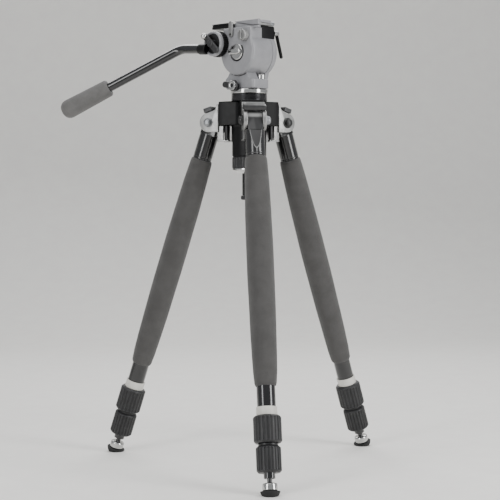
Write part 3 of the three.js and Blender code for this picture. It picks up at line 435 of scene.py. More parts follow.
@dataclass(frozen=True)
class MaskedFinish(Finish):
    """A finish that gives way to another tone and roughness where the piece's own mask is 1, as on a bare face."""

    bare: str = "#303030"
    bare_roughness: float = 0.6
    # The colour of the painted highlight along the edge of the bare face.
    rim: str = "#9a9a98"

    def finished(self, tree: bpy.types.NodeTree, shader: bpy.types.Node, coords: bpy.types.NodeSocket) -> None:
        """Mixes in the bare tone by the mask, and paints a highlight, a brighter rim, where the mask passes one half.
        """
        mask = add(tree, "Attribute", attribute_name="bare").outputs["Fac"]
        colour = shader.inputs["Base Color"].links[0].from_socket
        rough = shader.inputs["Roughness"].links[0].from_socket
        toned = add(tree, "Mix", {0: mask, 6: colour, 7: linear(self.bare)}, data_type="RGBA").outputs[2]
        offset = add(tree, "Math", {0: mask, 1: 0.5}, operation="SUBTRACT").outputs[0]
        distance = add(tree, "Math", {0: offset}, operation="ABSOLUTE").outputs[0]
        # Painted highlight: a bright band along the crease, where the mask passes one half.
        rim = add(tree, "MapRange", {0: distance, 1: 0.1, 2: 0.42, 3: 0.8, 4: 0.0}).outputs[0]
        edge_highlighted = add(tree, "Mix", {0: rim, 6: toned, 7: linear(self.rim)}, data_type="RGBA").outputs[2]
        flat = add(tree, "Mix", {0: mask, 2: rough, 3: self.bare_roughness}, data_type="FLOAT").outputs[0]
        tree.links.new(edge_highlighted, shader.inputs["Base Color"])
        tree.links.new(flat, shader.inputs["Roughness"])


# Two-pack paint on cast alloy, sprayed: a fine orange peel under a satin shine.
GREY_PAINT = Finish("satin_grey_paint", "#828285", "#8a8a8d", 0.0, 0.4, 0.07, 0.9, 0.018, coat=0.2)
# Powder coat on cast alloy, baked: a slightly pebbled black, soft at the edges of its highlights.
BLACK_POWDER = Finish("black_powder_coat", "#050506", "#09090a", 0.0, 0.4, 0.06, 0.8, 0.03, specular=0.22)
# The same coat on the leg castings, glossier, with a rubbed flat face and a painted highlight along its edge.
FITTING_COAT = MaskedFinish("gloss_casting_coat", "#0d0d0e", "#151516", 0.0, 0.2, 0.05, 1.2, 0.012, coat=0.5,
                            bare="#101011", bare_roughness=0.6, rim="#8f8f8e")
# Vibration-tumbled aluminium castings: grey, a little cloudy, with a satin shine.
TUMBLED_ALLOY = Finish("tumbled_aluminium", "#a2a2a1", "#8d8d8c", 0.9, 0.4, 0.08, 0.7, 0.02, 14.0)
# Anodised drawn tube, dyed black and buffed: it mirrors its surroundings in long streaks.
BLACK_TUBE = Finish("black_anodised_tube", "#08080a", "#0c0c0e", 0.0, 0.14, 0.05, 0.5, 0.004, coat=0.6)
# Oil-blackened steel of the head plate: it keeps thin bright lines on the crests of its grooves.
BLACKED_STEEL = Finish("oil_blackened_steel", "#4a4a4c", "#3a3a3c", 0.9, 0.3, 0.07, 0.5, 0.01, grain=Grain.BRUSHED)
# Levers and catches of cast alloy with a thin dark wash in the hollows.
DARK_ALLOY = Finish("dark_washed_aluminium", "#454546", "#363637", 0.6, 0.38, 0.08, 0.7, 0.02, 12.0)
# Bright chromium plate over turned brass.
CHROME = Finish("chromium_plate", "#c9c9c7", "#bcbcbb", 1.0, 0.12, 0.05, 0.6, 0.004)
# Turned steel, with fine marks round it.
TURNED_STEEL = Finish("turned_steel", "#838385", "#6c6c6e", 1.0, 0.3, 0.07, 0.5, 0.01, grain=Grain.BRUSHED)
# Closed-cell foam rubber: matt, with cut cells a millimetre and a half across that break up its edge.
FOAM = Finish("closed_cell_foam", "#484746", "#403f3e", 0.0, 0.92, 0.04, 1.5, 0.25, 30.0, grain=Grain.CELLS,
              sheen=0.15, specular=0.25)
# The grip's foam, painted lighter than the sleeves' foam as a lit copy for the brighter light on the grip, and worn a
# little smoother by the hand.
LIT_GRIP_FOAM = Finish("grip_foam_painted_light", "#605f5e", "#555453", 0.0, 0.85, 0.05, 1.3, 0.18, 22.0, grain=Grain.CELLS,
                   sheen=0.15, specular=0.3)
# Moulded nitrile rubber: dark grey, polished on the ribs.
RIBBED_RUBBER = Finish("moulded_nitrile_rubber", "#212122", "#2c2c2d", 0.0, 0.4, 0.08, 0.8, 0.03, 12.0, specular=0.4)
# Hard black rubber of the feet.
FOOT_RUBBER = Finish("foot_rubber", "#111112", "#1c1b1a", 0.0, 0.7, 0.08, 0.9, 0.04, 10.0, specular=0.4)
# Off-white vinyl band, printed blank.
LABEL_VINYL = Finish("label_vinyl", "#cfcdc6", "#c3c1ba", 0.0, 0.45, 0.05, 0.6, 0.006)
# Moulded acetal washers: black with a dull shine. Also the black ring of painted shade in the drag knob's recess.
BLACK_ACETAL_AND_SHADE = Finish("black_acetal_and_painted_shade", "#0e0e0f", "#161617", 0.0, 0.38, 0.06, 0.7, 0.01)
# Spirit in the level's vial, seen through its lens.
LEVEL_LENS = Finish("level_lens", "#2c331c", "#3a4423", 0.0, 0.06, 0.02, 2.0, 0.002, coat=1.0)


# ---------------------------------------------------------------- pieces


def merged(shells: Sequence[Shell], place: Place) -> tuple[np.ndarray, list[list[int]], np.ndarray]:
    """Puts several shells end to end in one list, in the row frame.

    Args:
        shells: The shells, in one local frame.
        place: That frame.

    Returns:
        The points, the faces and the mask of every point.
    """
    points, faces, masks, offset = [], [], [], 0
    for shell in shells:
        points.append(place.row(shell.points))
        faces += (shell.quads + offset).tolist()
        faces += [[index + offset for index in cap] for cap in shell.caps]
        masks.append(np.zeros(len(shell.points)) if shell.mask is None else shell.mask)
        offset += len(shell.points)
    return np.vstack(points), faces, np.concatenate(masks)


def make(name: str, shells: Sequence[Shell], place: Place, body: str, finish: Finish,
         nodes: Sequence[str] = (), crease: float = 35.0) -> bpy.types.Object:
    """Makes one piece from its shells and gives it its body and finish.

    Args:
        name: The piece's name.
        shells: Its closed shells, in a local frame.
        place: That local frame.
        body: The body it moves with.
        finish: Its finish.
        nodes: The CAD nodes it stands for.
        crease: Edges that turn by more than this many degrees stay sharp.

    Returns:
        The object.
    """
    points, faces, mask = merged(shells, place)
    mesh = bpy.data.meshes.new(name)
    mesh.from_pydata(points, [], faces)
    if mask.any():
        mesh.attributes.new("bare", "FLOAT", "POINT").data.foreach_set("value", mask.astype(np.float32))
    work = bmesh.new()
    work.from_mesh(mesh)
    bmesh.ops.remove_doubles(work, verts=work.verts, dist=2e-7)
    bmesh.ops.dissolve_degenerate(work, edges=work.edges, dist=1e-8)
    bmesh.ops.recalc_face_normals(work, faces=work.faces)
    work.to_mesh(mesh)
    work.free()
    mesh.shade_smooth()
    mesh.set_sharp_from_angle(angle=math.radians(crease))
    piece = bpy.data.objects.new(name, mesh)
    bpy.context.scene.collection.objects.link(piece)
    mesh.materials.append(finish.material())
    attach(piece, body)
    if nodes:
        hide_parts(*nodes)
    LOG.info("%s: %d faces on %s", name, len(mesh.polygons), body)
    return piece


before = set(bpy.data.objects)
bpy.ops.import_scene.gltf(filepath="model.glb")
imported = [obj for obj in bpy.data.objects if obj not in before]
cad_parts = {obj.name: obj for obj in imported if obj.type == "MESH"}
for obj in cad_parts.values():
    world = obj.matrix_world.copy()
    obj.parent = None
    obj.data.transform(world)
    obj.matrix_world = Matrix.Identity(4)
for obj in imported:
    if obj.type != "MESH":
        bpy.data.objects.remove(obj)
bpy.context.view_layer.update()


def middle(node: str) -> np.ndarray:
    """The middle of a CAD node's box, in millimetres.

    Args:
        node: The node's name.

    Returns:
        The middle point.
    """
    low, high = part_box(node)
    return np.array((low + high) / 2) * 1000


def at_column(column: np.ndarray) -> Place:
    """The frame at the column's foot, level with the floor.

    Args:
        column: The middle of the column tube, in millimetres.

    Returns:
        The frame, with the row frame's own axes.
    """
    return Place(np.array([column[0], column[1], 0.0]), np.eye(3))


# ---------------------------------------------------------------- legs


@dataclass
class Leg:
    """One leg: its hinge bracket and catch, three tubes, two twist collars, sleeve and foot."""

    name: str
    azimuth: float
    column: np.ndarray
    pivot_radius: float = 83.0
    length: float = 750.0
    fitting_radius: float = 19.8
    fitting_length: float = 79.0
    scarf_point: float = 66.0
    scarf_depth: float = 7.0
    cheek: tuple[float, float] = (15.3, 23.3)
    clevis_back: float = -22.7
    clevis_rise: float = 38.3

    def __post_init__(self) -> None:
        """Works out the hinge's and the leg's own frames."""
        pin_height = middle(f"hinge_bolt_{self.name}")[2]
        station = at_column(self.column).turned(math.radians(self.azimuth))
        self.hinge = station.moved(self.pivot_radius, 0, pin_height)
        self.at_pin = self.hinge.turned(-SPLAY, 1)
        self.foot = self.at_pin.moved(z=-self.length)

    def build(self) -> None:
        """Builds every piece of the leg."""
        self.bracket()
        self.pin()
        self.catch()
        self.fitting()
        self.tubes()
        self.sleeve()
        self.collars()
        self.shoe()

    def bracket(self) -> None:
        """The forked bracket: back plate, two cheeks with round ends, tabs, feet and posts."""
        back, rise = self.clevis_back, self.clevis_rise
        inner, outer = self.cheek
        crest = [[back + 7, 0.7 * rise], [back + 3.5, rise], [back, rise], [back, -20]]
        profile = np.vstack([[[0, -20]], arc((0, 0), 20, -84, 74, 28), crest])
        shells = [slab(rectangle(back, back + 3.5, -outer, outer, 1.2), -20, rise, 0.9)]
        posts: list[Shell] = []
        for side in (-1, 1):
            low, high = sorted((side * inner, side * outer))
            cheek = slab(profile, -high, -low, 1.1)
            shells.append(Shell(np.stack([cheek.points[:, 0], -cheek.points[:, 2], cheek.points[:, 1]], 1),
                                cheek.quads, cheek.caps))
            tab = sorted((side * inner, side * (inner + 4)))
            foot = sorted((side * (inner - 2), side * (inner + 6)))
            shells.append(slab(rectangle(-32, back + 3.5, tab[0], tab[1], 0.6), -39.8, -7.5, 0.5))
            shells.append(slab(rectangle(-45, back + 3.5, foot[0], foot[1], 1.4), -39.8, -36.3, 0.8))
            post = lathe([[0, -38], [4.7, -38], [4.7, -7.5], [0, -7.5]], 32, 0.4)
            posts.append(post.shifted(x=-40, y=(foot[0] + foot[1]) / 2))
        make(f"clevis_{self.name}", shells, self.hinge, "spider", TUMBLED_ALLOY,
             [f"hinge_clevis_{self.name}"])
        make(f"clevis_posts_{self.name}", posts, self.hinge, "spider", BLACK_ACETAL_AND_SHADE)

    def pin(self) -> None:
        """The hinge pin: a domed bolt head with a ring round it, and a dark cap nut on the other side."""
        face = self.cheek[1] + GAP
        head = lathe([[0, face - 12], [5, face - 12], [5, face], [9.5, face], [9.5, face + 2.4], [8.2, face + 3.2],
                      [8, face + 5.5], [7.2, face + 8], [4.4, face + 10], [0, face + 10.4]], 64, 0.5)
        nut = lathe([[0, -face - 9.4], [3.5, -face - 9.2], [7.4, -face - 7.6], [8.8, -face - 4.6], [8.8, -face - 2.4],
                     [11, -face - 2], [11, -face], [5, -face], [5, -face + 12], [0, -face + 12]], 64, 0.6)
        rod = lathe([[0, -face + 11], [5, -face + 11], [5, face - 11], [0, face - 11]], 48)
        make(f"pin_head_{self.name}", [head.facing("y"), rod.facing("y")], self.hinge, "spider", TURNED_STEEL,
             [f"hinge_bolt_{self.name}"])
        make(f"pin_nut_{self.name}", [nut.facing("y")], self.hinge, "spider", BLACK_ACETAL_AND_SHADE)

    def catch(self) -> None:
        """The sprung catch: a finger block with two raised lines and a tongue between the cheeks."""
        place = self.hinge.moved(2, 0, 27.2).turned(math.radians(17), 1)
        half, width = 9.5, self.cheek[1]
        block = slab(rectangle(-half, half, -width, width, 1.5), -5, 4.4, 1.2)
        tongue = slab(rectangle(-half - 8.5, -half + 2, -12, 12, 1.0), -5, 0, 0.8)
        bars = [slab(rectangle(x - 1.1, x + 1.1, -width + 2.5, width - 2.5, 0.8), 3.5, 5, 0.5) for x in (-3.4, 3.4)]
        make(f"catch_{self.name}", [block], place, f"angle_catch_{self.name}", DARK_ALLOY,
             [f"angle_catch_{self.name}"])
        make(f"catch_ridges_{self.name}", bars, place, f"angle_catch_{self.name}", TUMBLED_ALLOY)
        make(f"catch_tongue_{self.name}", [tongue], place, f"angle_catch_{self.name}", BLACK_POWDER)

    def scarf(self, height: np.ndarray) -> np.ndarray:
        """Distance of the flat outer face from the leg's axis: the fitting's radius at the point, less higher up."""
        return self.fitting_radius - self.scarf_depth * np.clip((height + self.scarf_point) / self.scarf_point, 0, 2)

    def fitting(self) -> None:
        """The casting at the leg's top: a round body cut by the flat face, and the tongue on the pin.

        On the body the radius at an angle is the smaller of the round one and the face's distance over the
        cosine of the angle; the mask is how far the face has cut in.
        """
        radius = self.fitting_radius
        sides, levels = 144, 90
        angle = np.linspace(-math.pi, math.pi, sides, endpoint=False)[:, None]
        height = np.linspace(-self.fitting_length, -24.5, levels)[None, :]
        cosine = np.maximum(np.cos(angle), 0.05)
        cut = np.where(np.cos(angle) > 0.05, self.scarf(height) / cosine, radius * 2)
        rim = radius - 0.9 * np.clip(1 - (height + self.fitting_length) / 1.2, 0, 1) ** 2
        groove = 0.5 * np.exp(-(((height + self.fitting_length - 4.2) / 0.5) ** 2))
        wall = np.broadcast_to(rim - groove, cut.shape)
        distance = np.minimum(wall, cut)
        # The mask also carries the painted highlight along the crease between the flat face and the round body.
        mask = np.clip((wall - cut) / 0.5 + 0.3, 0, 1)
        grid = np.stack([distance * np.cos(angle), distance * np.sin(angle), np.broadcast_to(height, cut.shape)], -1)
        body = woven(grid, caps=True)
        body.mask = mask.reshape(-1)
        top = float(self.scarf(np.array([0.0]))[0])
        low = float(self.scarf(np.array([-26.0]))[0])
        tongue_line = np.vstack([[[-18.4, -26], [low, -26], [top, 0]],
                                 arc((0, 0), 18.4, 44, 180, 30)])
        tongue = slab(tongue_line, -15, 15, 0.8)
        points = np.stack([tongue.points[:, 0], -tongue.points[:, 2], tongue.points[:, 1]], 1)
        # This mask also carries the painted highlight along the edge of the tongue's flat face.
        flat = np.clip((points[:, 0] - self.scarf(points[:, 2]) + 0.7) / 0.5, 0, 1) * (points[:, 2] < 2)
        make(f"leg_casting_{self.name}", [body, Shell(points, tongue.quads, tongue.caps, flat)], self.at_pin,
             f"leg_{self.name}", FITTING_COAT, [f"leg_fitting_{self.name}"])

    def tubes(self) -> None:
        """The three drawn tubes and the blank band near the end of the outer one."""
        outer = lathe([[16.5, 105], [18, 105], [18, 687], [16.5, 687]], 96, 0.3, loop=True)
        make(f"outer_tube_{self.name}", [outer], self.foot, f"leg_{self.name}", BLACK_TUBE,
             [f"upper_tube_{self.name}"])
        band = lathe([[18.05, 151], [20.2, 151], [20.2, 167], [18.05, 167]], 96, 0.5, loop=True)
        make(f"label_band_{self.name}", [band], self.foot, f"leg_{self.name}", LABEL_VINYL)
        inner = lathe([[13, 50], [14.5, 50], [14.5, 630], [16.2, 631], [16.2, 660], [13, 660]], 72, 0.2, loop=True)
        make(f"middle_tube_{self.name}_bright", [inner], self.foot, f"middle_section_{self.name}", BLACK_TUBE,
             [f"middle_tube_{self.name}"])
        lowest = lathe([[9.8, 32], [11, 32], [11, 615], [12.7, 616], [12.7, 645], [9.8, 645]], 72, 0.2, loop=True)
        make(f"lower_tube_{self.name}_bright", [lowest], self.foot, f"lower_section_{self.name}", BLACK_TUBE,
             [f"lower_tube_{self.name}"])

    def sleeve(self) -> None:
        """The foam sleeve: a smooth swelling, thickest below the middle, with rolled ends and faint waves."""
        low, high = 207.0, 670.7
        share = np.array([0, 0.004, 0.012, 0.05, 0.12, 0.25, 0.45, 0.6, 0.75, 0.9, 0.985, 0.996, 1.0])
        radius = np.array([18.6, 20.2, 21.4, 23.1, 24.3, 25.7, 26.8, 26.8, 26.1, 24.4, 22.7, 21.8, 18.6])
        fine = np.unique(np.concatenate([np.linspace(0, 1, 120), share]))
        line = np.stack([np.interp(fine, share, radius), low + fine * (high - low)], 1)
        smooth = line.copy()
        smooth[4:-4, 0] = np.convolve(line[:, 0], np.ones(7) / 7, "valid")[1:-1]
        profile = np.vstack([smooth, [[18.3, high], [18.3, low]]])

        def lumps(angle: np.ndarray, height: np.ndarray) -> np.ndarray:
            """Slow waves of a few tenths of a millimetre along and round the sleeve."""
            wave = np.sin(2 * angle + height / 47) + np.sin(3 * angle - height / 71 + 1) + np.sin(height / 19 + angle)
            ends = np.clip(np.minimum(height - low, high - height) / 20, 0, 1)
            return 0.09 * wave * ends

        piece = make(f"sleeve_{self.name}", [lathe(profile, 120, swell=lumps, loop=True)], self.foot,
                     f"leg_{self.name}", FOAM, [f"foam_sleeve_{self.name}"])

    def collars(self) -> None:
        """The two twist collars: ribbed sleeves with plain chamfered shoulders, and the dark ring between them."""
        for which, radius, low, height, bore, lip in (("upper", 27.0, 98.0, 52.5, 18.4, 14.9),
                                                      ("lower", 24.0, 42.5, 50.5, 14.9, 11.4)):
            high = low + height
            wall = np.linspace(low + 4.2, high - 4.2, 24)
            body = [[radius, z] for z in wall]
            profile = [[lip, low], [radius - 3.6, low], [radius - 0.6, low + 3], *body, [radius - 0.6, high - 3],
                       [radius - 3.6, high], [bore, high], [bore, low + 6.5], [lip, low + 6.5]]
            shell = lathe(profile, 352, 0.5, ribs(22, 2.2, low + 3.4, high - 3.4, 1.2, 2.2), loop=True)
            make(f"{which}_twist_{self.name}", [shell], self.foot, f"{which}_collar_{self.name}", RIBBED_RUBBER,
                 [f"{which}_collar_{self.name}"])
        ring = lathe([[14.7, 93.4], [19, 93.4], [19, 97.6], [14.7, 97.6]], 72, 0.5, loop=True)
        make(f"collar_washer_{self.name}", [ring], self.foot, f"leg_{self.name}", BLACK_ACETAL_AND_SHADE)

    def shoe(self) -> None:
        """The chromed cup and stem, and the rubber pad: a dome whose points under the floor are brought up to it."""
        cup = lathe([[0, 4.8], [5.8, 4.8], [5.8, 8.8], [12.6, 8.8], [14.5, 10.6], [14.5, 21.2], [12.8, 23.4],
                     [6.5, 24], [0, 24]], 96, 0.7)
        make(f"shoe_cup_{self.name}", [cup], self.foot, f"lower_section_{self.name}", CHROME,
             [f"foot_ferrule_{self.name}"])
        stem = lathe([[0, 23.7], [5, 23.7], [5, 32.6], [9.3, 33], [9.3, 55], [0, 55]], 72, 0.4)
        make(f"shoe_stem_{self.name}", [stem], self.foot, f"lower_section_{self.name}", BLACK_TUBE)
        t = np.radians(np.linspace(-90, -10.5, 26))
        dome = np.stack([19.6 * np.cos(t), 12 + 20 * np.sin(t)], 1)
        profile = np.vstack([dome, [[19.2, 8.4], [0, 8.4]]])
        shell = lathe(profile, 96)
        world = self.foot.row(shell.points)
        world[:, 2] = np.maximum(world[:, 2], 0.0)
        level = Place(np.zeros(3), np.eye(3))
        flat = Shell(world * 1000, shell.quads, shell.caps)
        make(f"shoe_pad_{self.name}", [flat], level, f"lower_section_{self.name}", FOOT_RUBBER,
             [f"foot_pad_{self.name}"])


# ---------------------------------------------------------------- spider and column


@dataclass
class Crown:
    """The spider casting with its column: shank, locking collar, tube, end cap, head plate and pan ring."""

    column: np.ndarray
    lobe_half: float = 23.3
    lobe_end: float = 60.0
    fillet: float = 15.0
    shank: float = 35.6

    def __post_init__(self) -> None:
        """Works out the levels from the CAD boxes."""
        self.place = at_column(self.column)
        self.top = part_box("spider")[1].z * 1000
        self.shank_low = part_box("spider")[0].z * 1000
        self.bottom = self.shank_low + 63.5

    def build(self) -> None:
        """Builds every piece of the crown."""
        self.spider()
        self.collar()
        self.column_tube()
        self.head_plate()

    def outline(self) -> np.ndarray:
        """Three flat-ended arms at 120 degrees, joined by concave arcs."""
        centre = (self.lobe_half + self.fillet) / math.sin(math.pi / 3)
        parts = []
        for azimuth in (30, 150, 270):
            turn = math.radians(azimuth)
            c, s = math.cos(turn), math.sin(turn)
            corners = np.array([[self.lobe_end, -self.lobe_half], [self.lobe_end, self.lobe_half]])
            near = softened(np.vstack([corners[0] - [12, 0], corners, corners[1] - [12, 0]]), 2.2)
            parts.append(near @ np.array([[c, s], [-s, c]]))
            mid = turn + math.pi / 3
            parts.append(arc((centre * math.cos(mid), centre * math.sin(mid)), self.fillet,
                             azimuth - 90, azimuth - 150, 18))
        return np.vstack(parts)

    def spider(self) -> None:
        """The casting: a slab of the three-armed outline, and the round shank under it."""
        lobes = slab(self.outline(), self.bottom, self.top, 2.2, 6)
        shank = lathe([[15.4, self.shank_low], [self.shank - 1, self.shank_low], [self.shank, self.shank_low + 1],
                       [self.shank, self.bottom - 3], [self.shank + 2.5, self.bottom + 1], [15.4, self.bottom + 1]],
                      128, 1.2, loop=True)
        make("spider_casting", [lobes, shank], self.place, "spider", BLACK_POWDER, ["spider"])

    def collar(self) -> None:
        """The ribbed locking collar, with a bright cone under it."""
        high = self.shank_low - GAP
        low = high - 28
        body = [[self.shank, z] for z in np.linspace(low + 4.4, high - 3, 16)]
        ribbed = lathe([[15.4, low], [self.shank - 2.8, low], [self.shank - 1.8, low + 3.7], *body,
                        [self.shank - 0.4, high - 2], [self.shank - 2, high], [15.4, high]],
                       336, 0.4, ribs(24, 1.8, low + 4, high - 2.4, 1.0, 2.2), loop=True)
        make("column_lock_collar", [ribbed], self.place, "column_collar", RIBBED_RUBBER,
             ["column_collar"])
        cone = lathe([[15.4, low - 7], [20.4, low - 7], [21, low - 6.6], [34.4, low - 1.2], [35.6, low + 0.6],
                      [35.6, low + 3], [34.2, low + 3.6], [33, low - 0.2], [15.4, low - 0.2]], 128, 0.3, loop=True)
        make("column_lock_cone", [cone], self.place, "column_collar", CHROME)

    def column_tube(self) -> None:
        """The column and its ribbed end cap."""
        low, high = (corner.z * 1000 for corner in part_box("column_tube"))
        tube = lathe([[12.6, low], [15, low], [15, high], [12.6, high]], 96, 0.3, loop=True)
        make("column_bright_tube", [tube], self.place, "column", BLACK_TUBE, ["column_tube"])
        body = [[17.5, z] for z in np.linspace(low - 7, low - 2, 8)]
        cap = lathe([[0, low - 9.5], [15, low - 9.5], [17.2, low - 8], *body, [17.2, low - 1], [16.6, low - 0.3],
                     [12, low - 0.3], [12, low + 10], [0, low + 10]], 160, 0.5, ribs(20, 0.9, low - 8, low - 1, 1))
        make("column_end_cap", [cap], self.place, "column", RIBBED_RUBBER, ["column_cap"])

    def head_plate(self) -> None:
        """The head plate, with fine grooves round its rim, and the chromed pan ring on it."""
        low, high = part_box("head_plate")[0].z * 1000 + 15.3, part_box("head_plate")[1].z * 1000
        z = np.linspace(low + 1.2, high - 1.2, 97)
        rim = np.stack([37.3 - 0.4 * (1 + np.cos((z - low) * 2 * math.pi / 2.4)), z], 1)
        profile = np.vstack([[[0, low], [36.2, low], [37.2, low + 0.8]], rim, [[37.2, high - 0.8], [36.2, high],
                                                                               [0, high]]])
        make("head_plate_turned", [lathe(profile, 160)], self.place, "column", BLACKED_STEEL,
             ["head_plate"])
        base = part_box("pan_ring")[0].z * 1000
        ring = lathe([[0, base], [37.2, base], [38.5, base + 1.4], [38.5, base + 8.4], [37.2, base + 9.9],
                      [12, base + 9.9], [12, base + 24.9], [0, base + 24.9]], 160, 0.9)
        make("pan_ring_chromed", [ring], self.place, "column", CHROME, ["pan_ring"])


# ---------------------------------------------------------------- head


@dataclass
class VideoHead:
    """The fluid head: base with its pan lock, tilting drum, knobs, balance housing, camera plate and pan handle."""

    column: np.ndarray
    drum_radius: float = 48.0
    drum_back: float = -21.0
    drum_front: float = 37.0
    back: float = -34.0
    saddle_half: float = 40.0
    saddle_top: float = 49.5
    deck_top: float = 53.2
    rosette: tuple[float, float, float] = (27.0, -49.0, 18.5)
    handle_radius: float = 9.75
    handle_rise: float = 4.0
    handle_away: float = 36.4
    handle_drop: float = 26.8

    def __post_init__(self) -> None:
        """Works out the head's and the tilt axis's frames."""
        self.place = at_column(self.column).turned(HEAD_YAW)
        self.base_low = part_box("head_base")[0].z * 1000
        self.base_top = self.base_low + 19
        self.tilt = self.place.moved(z=middle("tilt_shaft")[2])

    def build(self) -> None:
        """Builds every piece of the head."""
        self.base()
        self.level()
        self.pan_lever()
        self.drum()
        self.housing()
        self.knobs()
        self.handle()
        self.bed()
        self.levers()

    def base(self) -> None:
        """The base: a rounded block, the cradle under the drum and the upright beside it."""
        low, top = self.base_low, self.base_top
        axis = middle("tilt_shaft")[2]
        block = slab(rectangle(-18, 30, -41, 41, 7), low, top, 2.2, 6)
        heel = slab(rectangle(self.back, -8, -21, 21, 5), low, top - 0.4, 1.8, 5)
        hollow = arc((0, axis), 49.4, 235, 292, 30)
        hollow = hollow[(hollow[:, 0] > -33) & (hollow[:, 0] < 21.5)]
        cradle_line = np.vstack([[[-40.5, top - 3], [31, top - 3], [21.5, top + 14]], hollow[::-1],
                                 [[-33, top + 7.5], [-40.5, top + 1]]])
        cradle = slab(cradle_line, 1.3, 29.5, 1.0).facing("x")
        upright_line = np.vstack([[[20, top - 3]], arc((0, axis), 48, -58, 238, 90), [[-20, top - 3]]])
        upright = slab(upright_line, self.back, self.drum_back - 0.6, 2.0, 6).facing("x")
        make("head_base_casting", [block, heel, cradle, upright], self.place, "pan_base", GREY_PAINT,
             ["head_base"])
        shaft = lathe([[0, self.back - 3.3], [12.6, self.back - 3.3], [14, self.back - 2], [14, self.back - 0.3],
                       [8, self.back - 0.3], [8, 28], [0, 28]], 96, 0.5).facing("x")
        slot = lathe([[0, self.back - 3.6], [5.4, self.back - 3.6], [5.4, self.back - 3], [0, self.back - 3]],
                     6).facing("x")
        make("tilt_axle", [shaft, slot], self.tilt, "pan_base", TURNED_STEEL, ["tilt_shaft"])

    def level(self) -> None:
        """The spirit level: a chromed cup with a rolled rim, and the lens in it."""
        place = self.place.moved(-7.5, 27, self.base_top + 0.3)
        cup = lathe([[0, 0], [8.2, 0], [8.2, 9], [7.6, 10.2], [6.2, 10.2], [5.6, 9], [0, 9]], 72, 0.6)
        make("level_cup", [cup], place, "pan_base", CHROME, ["bubble_level"])
        t = np.linspace(0, math.pi / 2, 12)
        lens = lathe(np.vstack([[[0, 8.6], [5.6, 8.6]], np.stack([5.6 * np.cos(t), 9 + 1.0 * np.sin(t)], 1)]), 64)
        make("level_lens", [lens], place, "pan_base", LEVEL_LENS)

    def pan_lever(self) -> None:
        """The pan lock: a ringed hub with a chromed crescent, and a short rounded arm."""
        place = self.place.moved(0, -4, self.base_low + 6)
        hub = lathe([[0, 39.5], [11.4, 39.5], [11.4, 45.6], [10.2, 47], [0, 47]], 80, 0.8).facing("x")
        stem = lathe([[0, 18.5], [5, 18.5], [5, 41], [0, 41]], 48).facing("x")
        arm = slab(strap((0, 0), (-23, 3), 13), 40.5, 46, 1.4, 5).facing("x")
        make("pan_lock_arm", [hub, stem, arm], place, "pan_lock_lever", DARK_ALLOY, ["pan_lock_lever"])
        cap = lathe([[4.4, 46.8], [10.2, 46.8], [9.6, 47.8], [5.6, 48.2], [4.4, 47.6]],
                    64, 0.3, loop=True).facing("x")
        make("pan_lock_cap", [cap], place, "pan_lock_lever", CHROME)
        dot = lathe([[0, 46.8], [4.2, 46.8], [4.0, 47.3], [0, 47.4]], 48, 0.2).facing("x")
        make("pan_lock_screw", [dot], place, "pan_lock_lever", BLACK_ACETAL_AND_SHADE)

    def drum(self) -> None:
        """The drum with a rounded rim and a recess, darkened by a ring of painted shade in knobs(), the saddle over it
        and the slit jaw.
        """
        front, radius = self.drum_front, self.drum_radius
        profile = [[8.4, self.drum_back], [radius, self.drum_back], [radius, front - 4.2], [radius - 1.3, front - 1.4],
                   [radius - 4.2, front], [20.4, front], [20, front - 0.4], [20, front - 3], [8.4, front - 3]]
        barrel = lathe(profile, 160, 1.3, loop=True).facing("x")
        half, top = self.saddle_half, self.saddle_top
        saddle = slab(rectangle(-half, half, 12, top, 3), 3, front - 0.1, 1.6, 5).facing("x")
        high, low, end = top + 11.5, top + 2, half - 4
        jaw_low = slab(np.array([[-14, top - 2], [53, top - 2], [53, low + 0.2], [end, low], [-14, high]]), 20.3, 28,
                       0.7).facing("x")
        jaw_high = slab(np.array([[-14, high + 1.4], [end, low + 1.4], [53, low + 1.5], [53, top + 14.5],
                                  [-14, top + 14.5]]), 20.3, 28, 0.9).facing("x")
        make("tilt_drum_casting", [barrel, saddle, jaw_low, jaw_high], self.tilt, "tilt_head", GREY_PAINT,
             ["tilt_drum"])

    def housing(self) -> None:
        """The black housing over drum and upright: a rounded box hollowed by the drum's circle, and its thin deck."""
        half, top = self.saddle_half, self.deck_top
        start = math.degrees(math.asin(1.5 / 49.4))
        hollow = arc((0, 0), 49.4, 180 - start - 32, start + 32, 50)
        hollow = hollow[(np.abs(hollow[:, 0]) < half - 0.5)]
        line = np.vstack([[[half, hollow[-1, 1] - 3]], [[half, top - 3], [half - 3, top], [3 - half, top],
                                                       [-half, top - 3]], [[-half, hollow[0, 1] - 3]], hollow])
        box = slab(line, self.back, 2.7, 1.0, 4).facing("x")
        deck = slab(rectangle(-half, half, 49.8, top, 0.8), self.back + 1, 20, 0.6).facing("x")
        make("balance_housing", [box, deck], self.tilt, "tilt_head", BLACK_POWDER,
             ["spring_housing"])

    def knobs(self) -> None:
        """The chromed drag knob with its bar grip, and the ribbed lock knob with its ridge."""
        front = self.drum_front
        face = front - 2.6
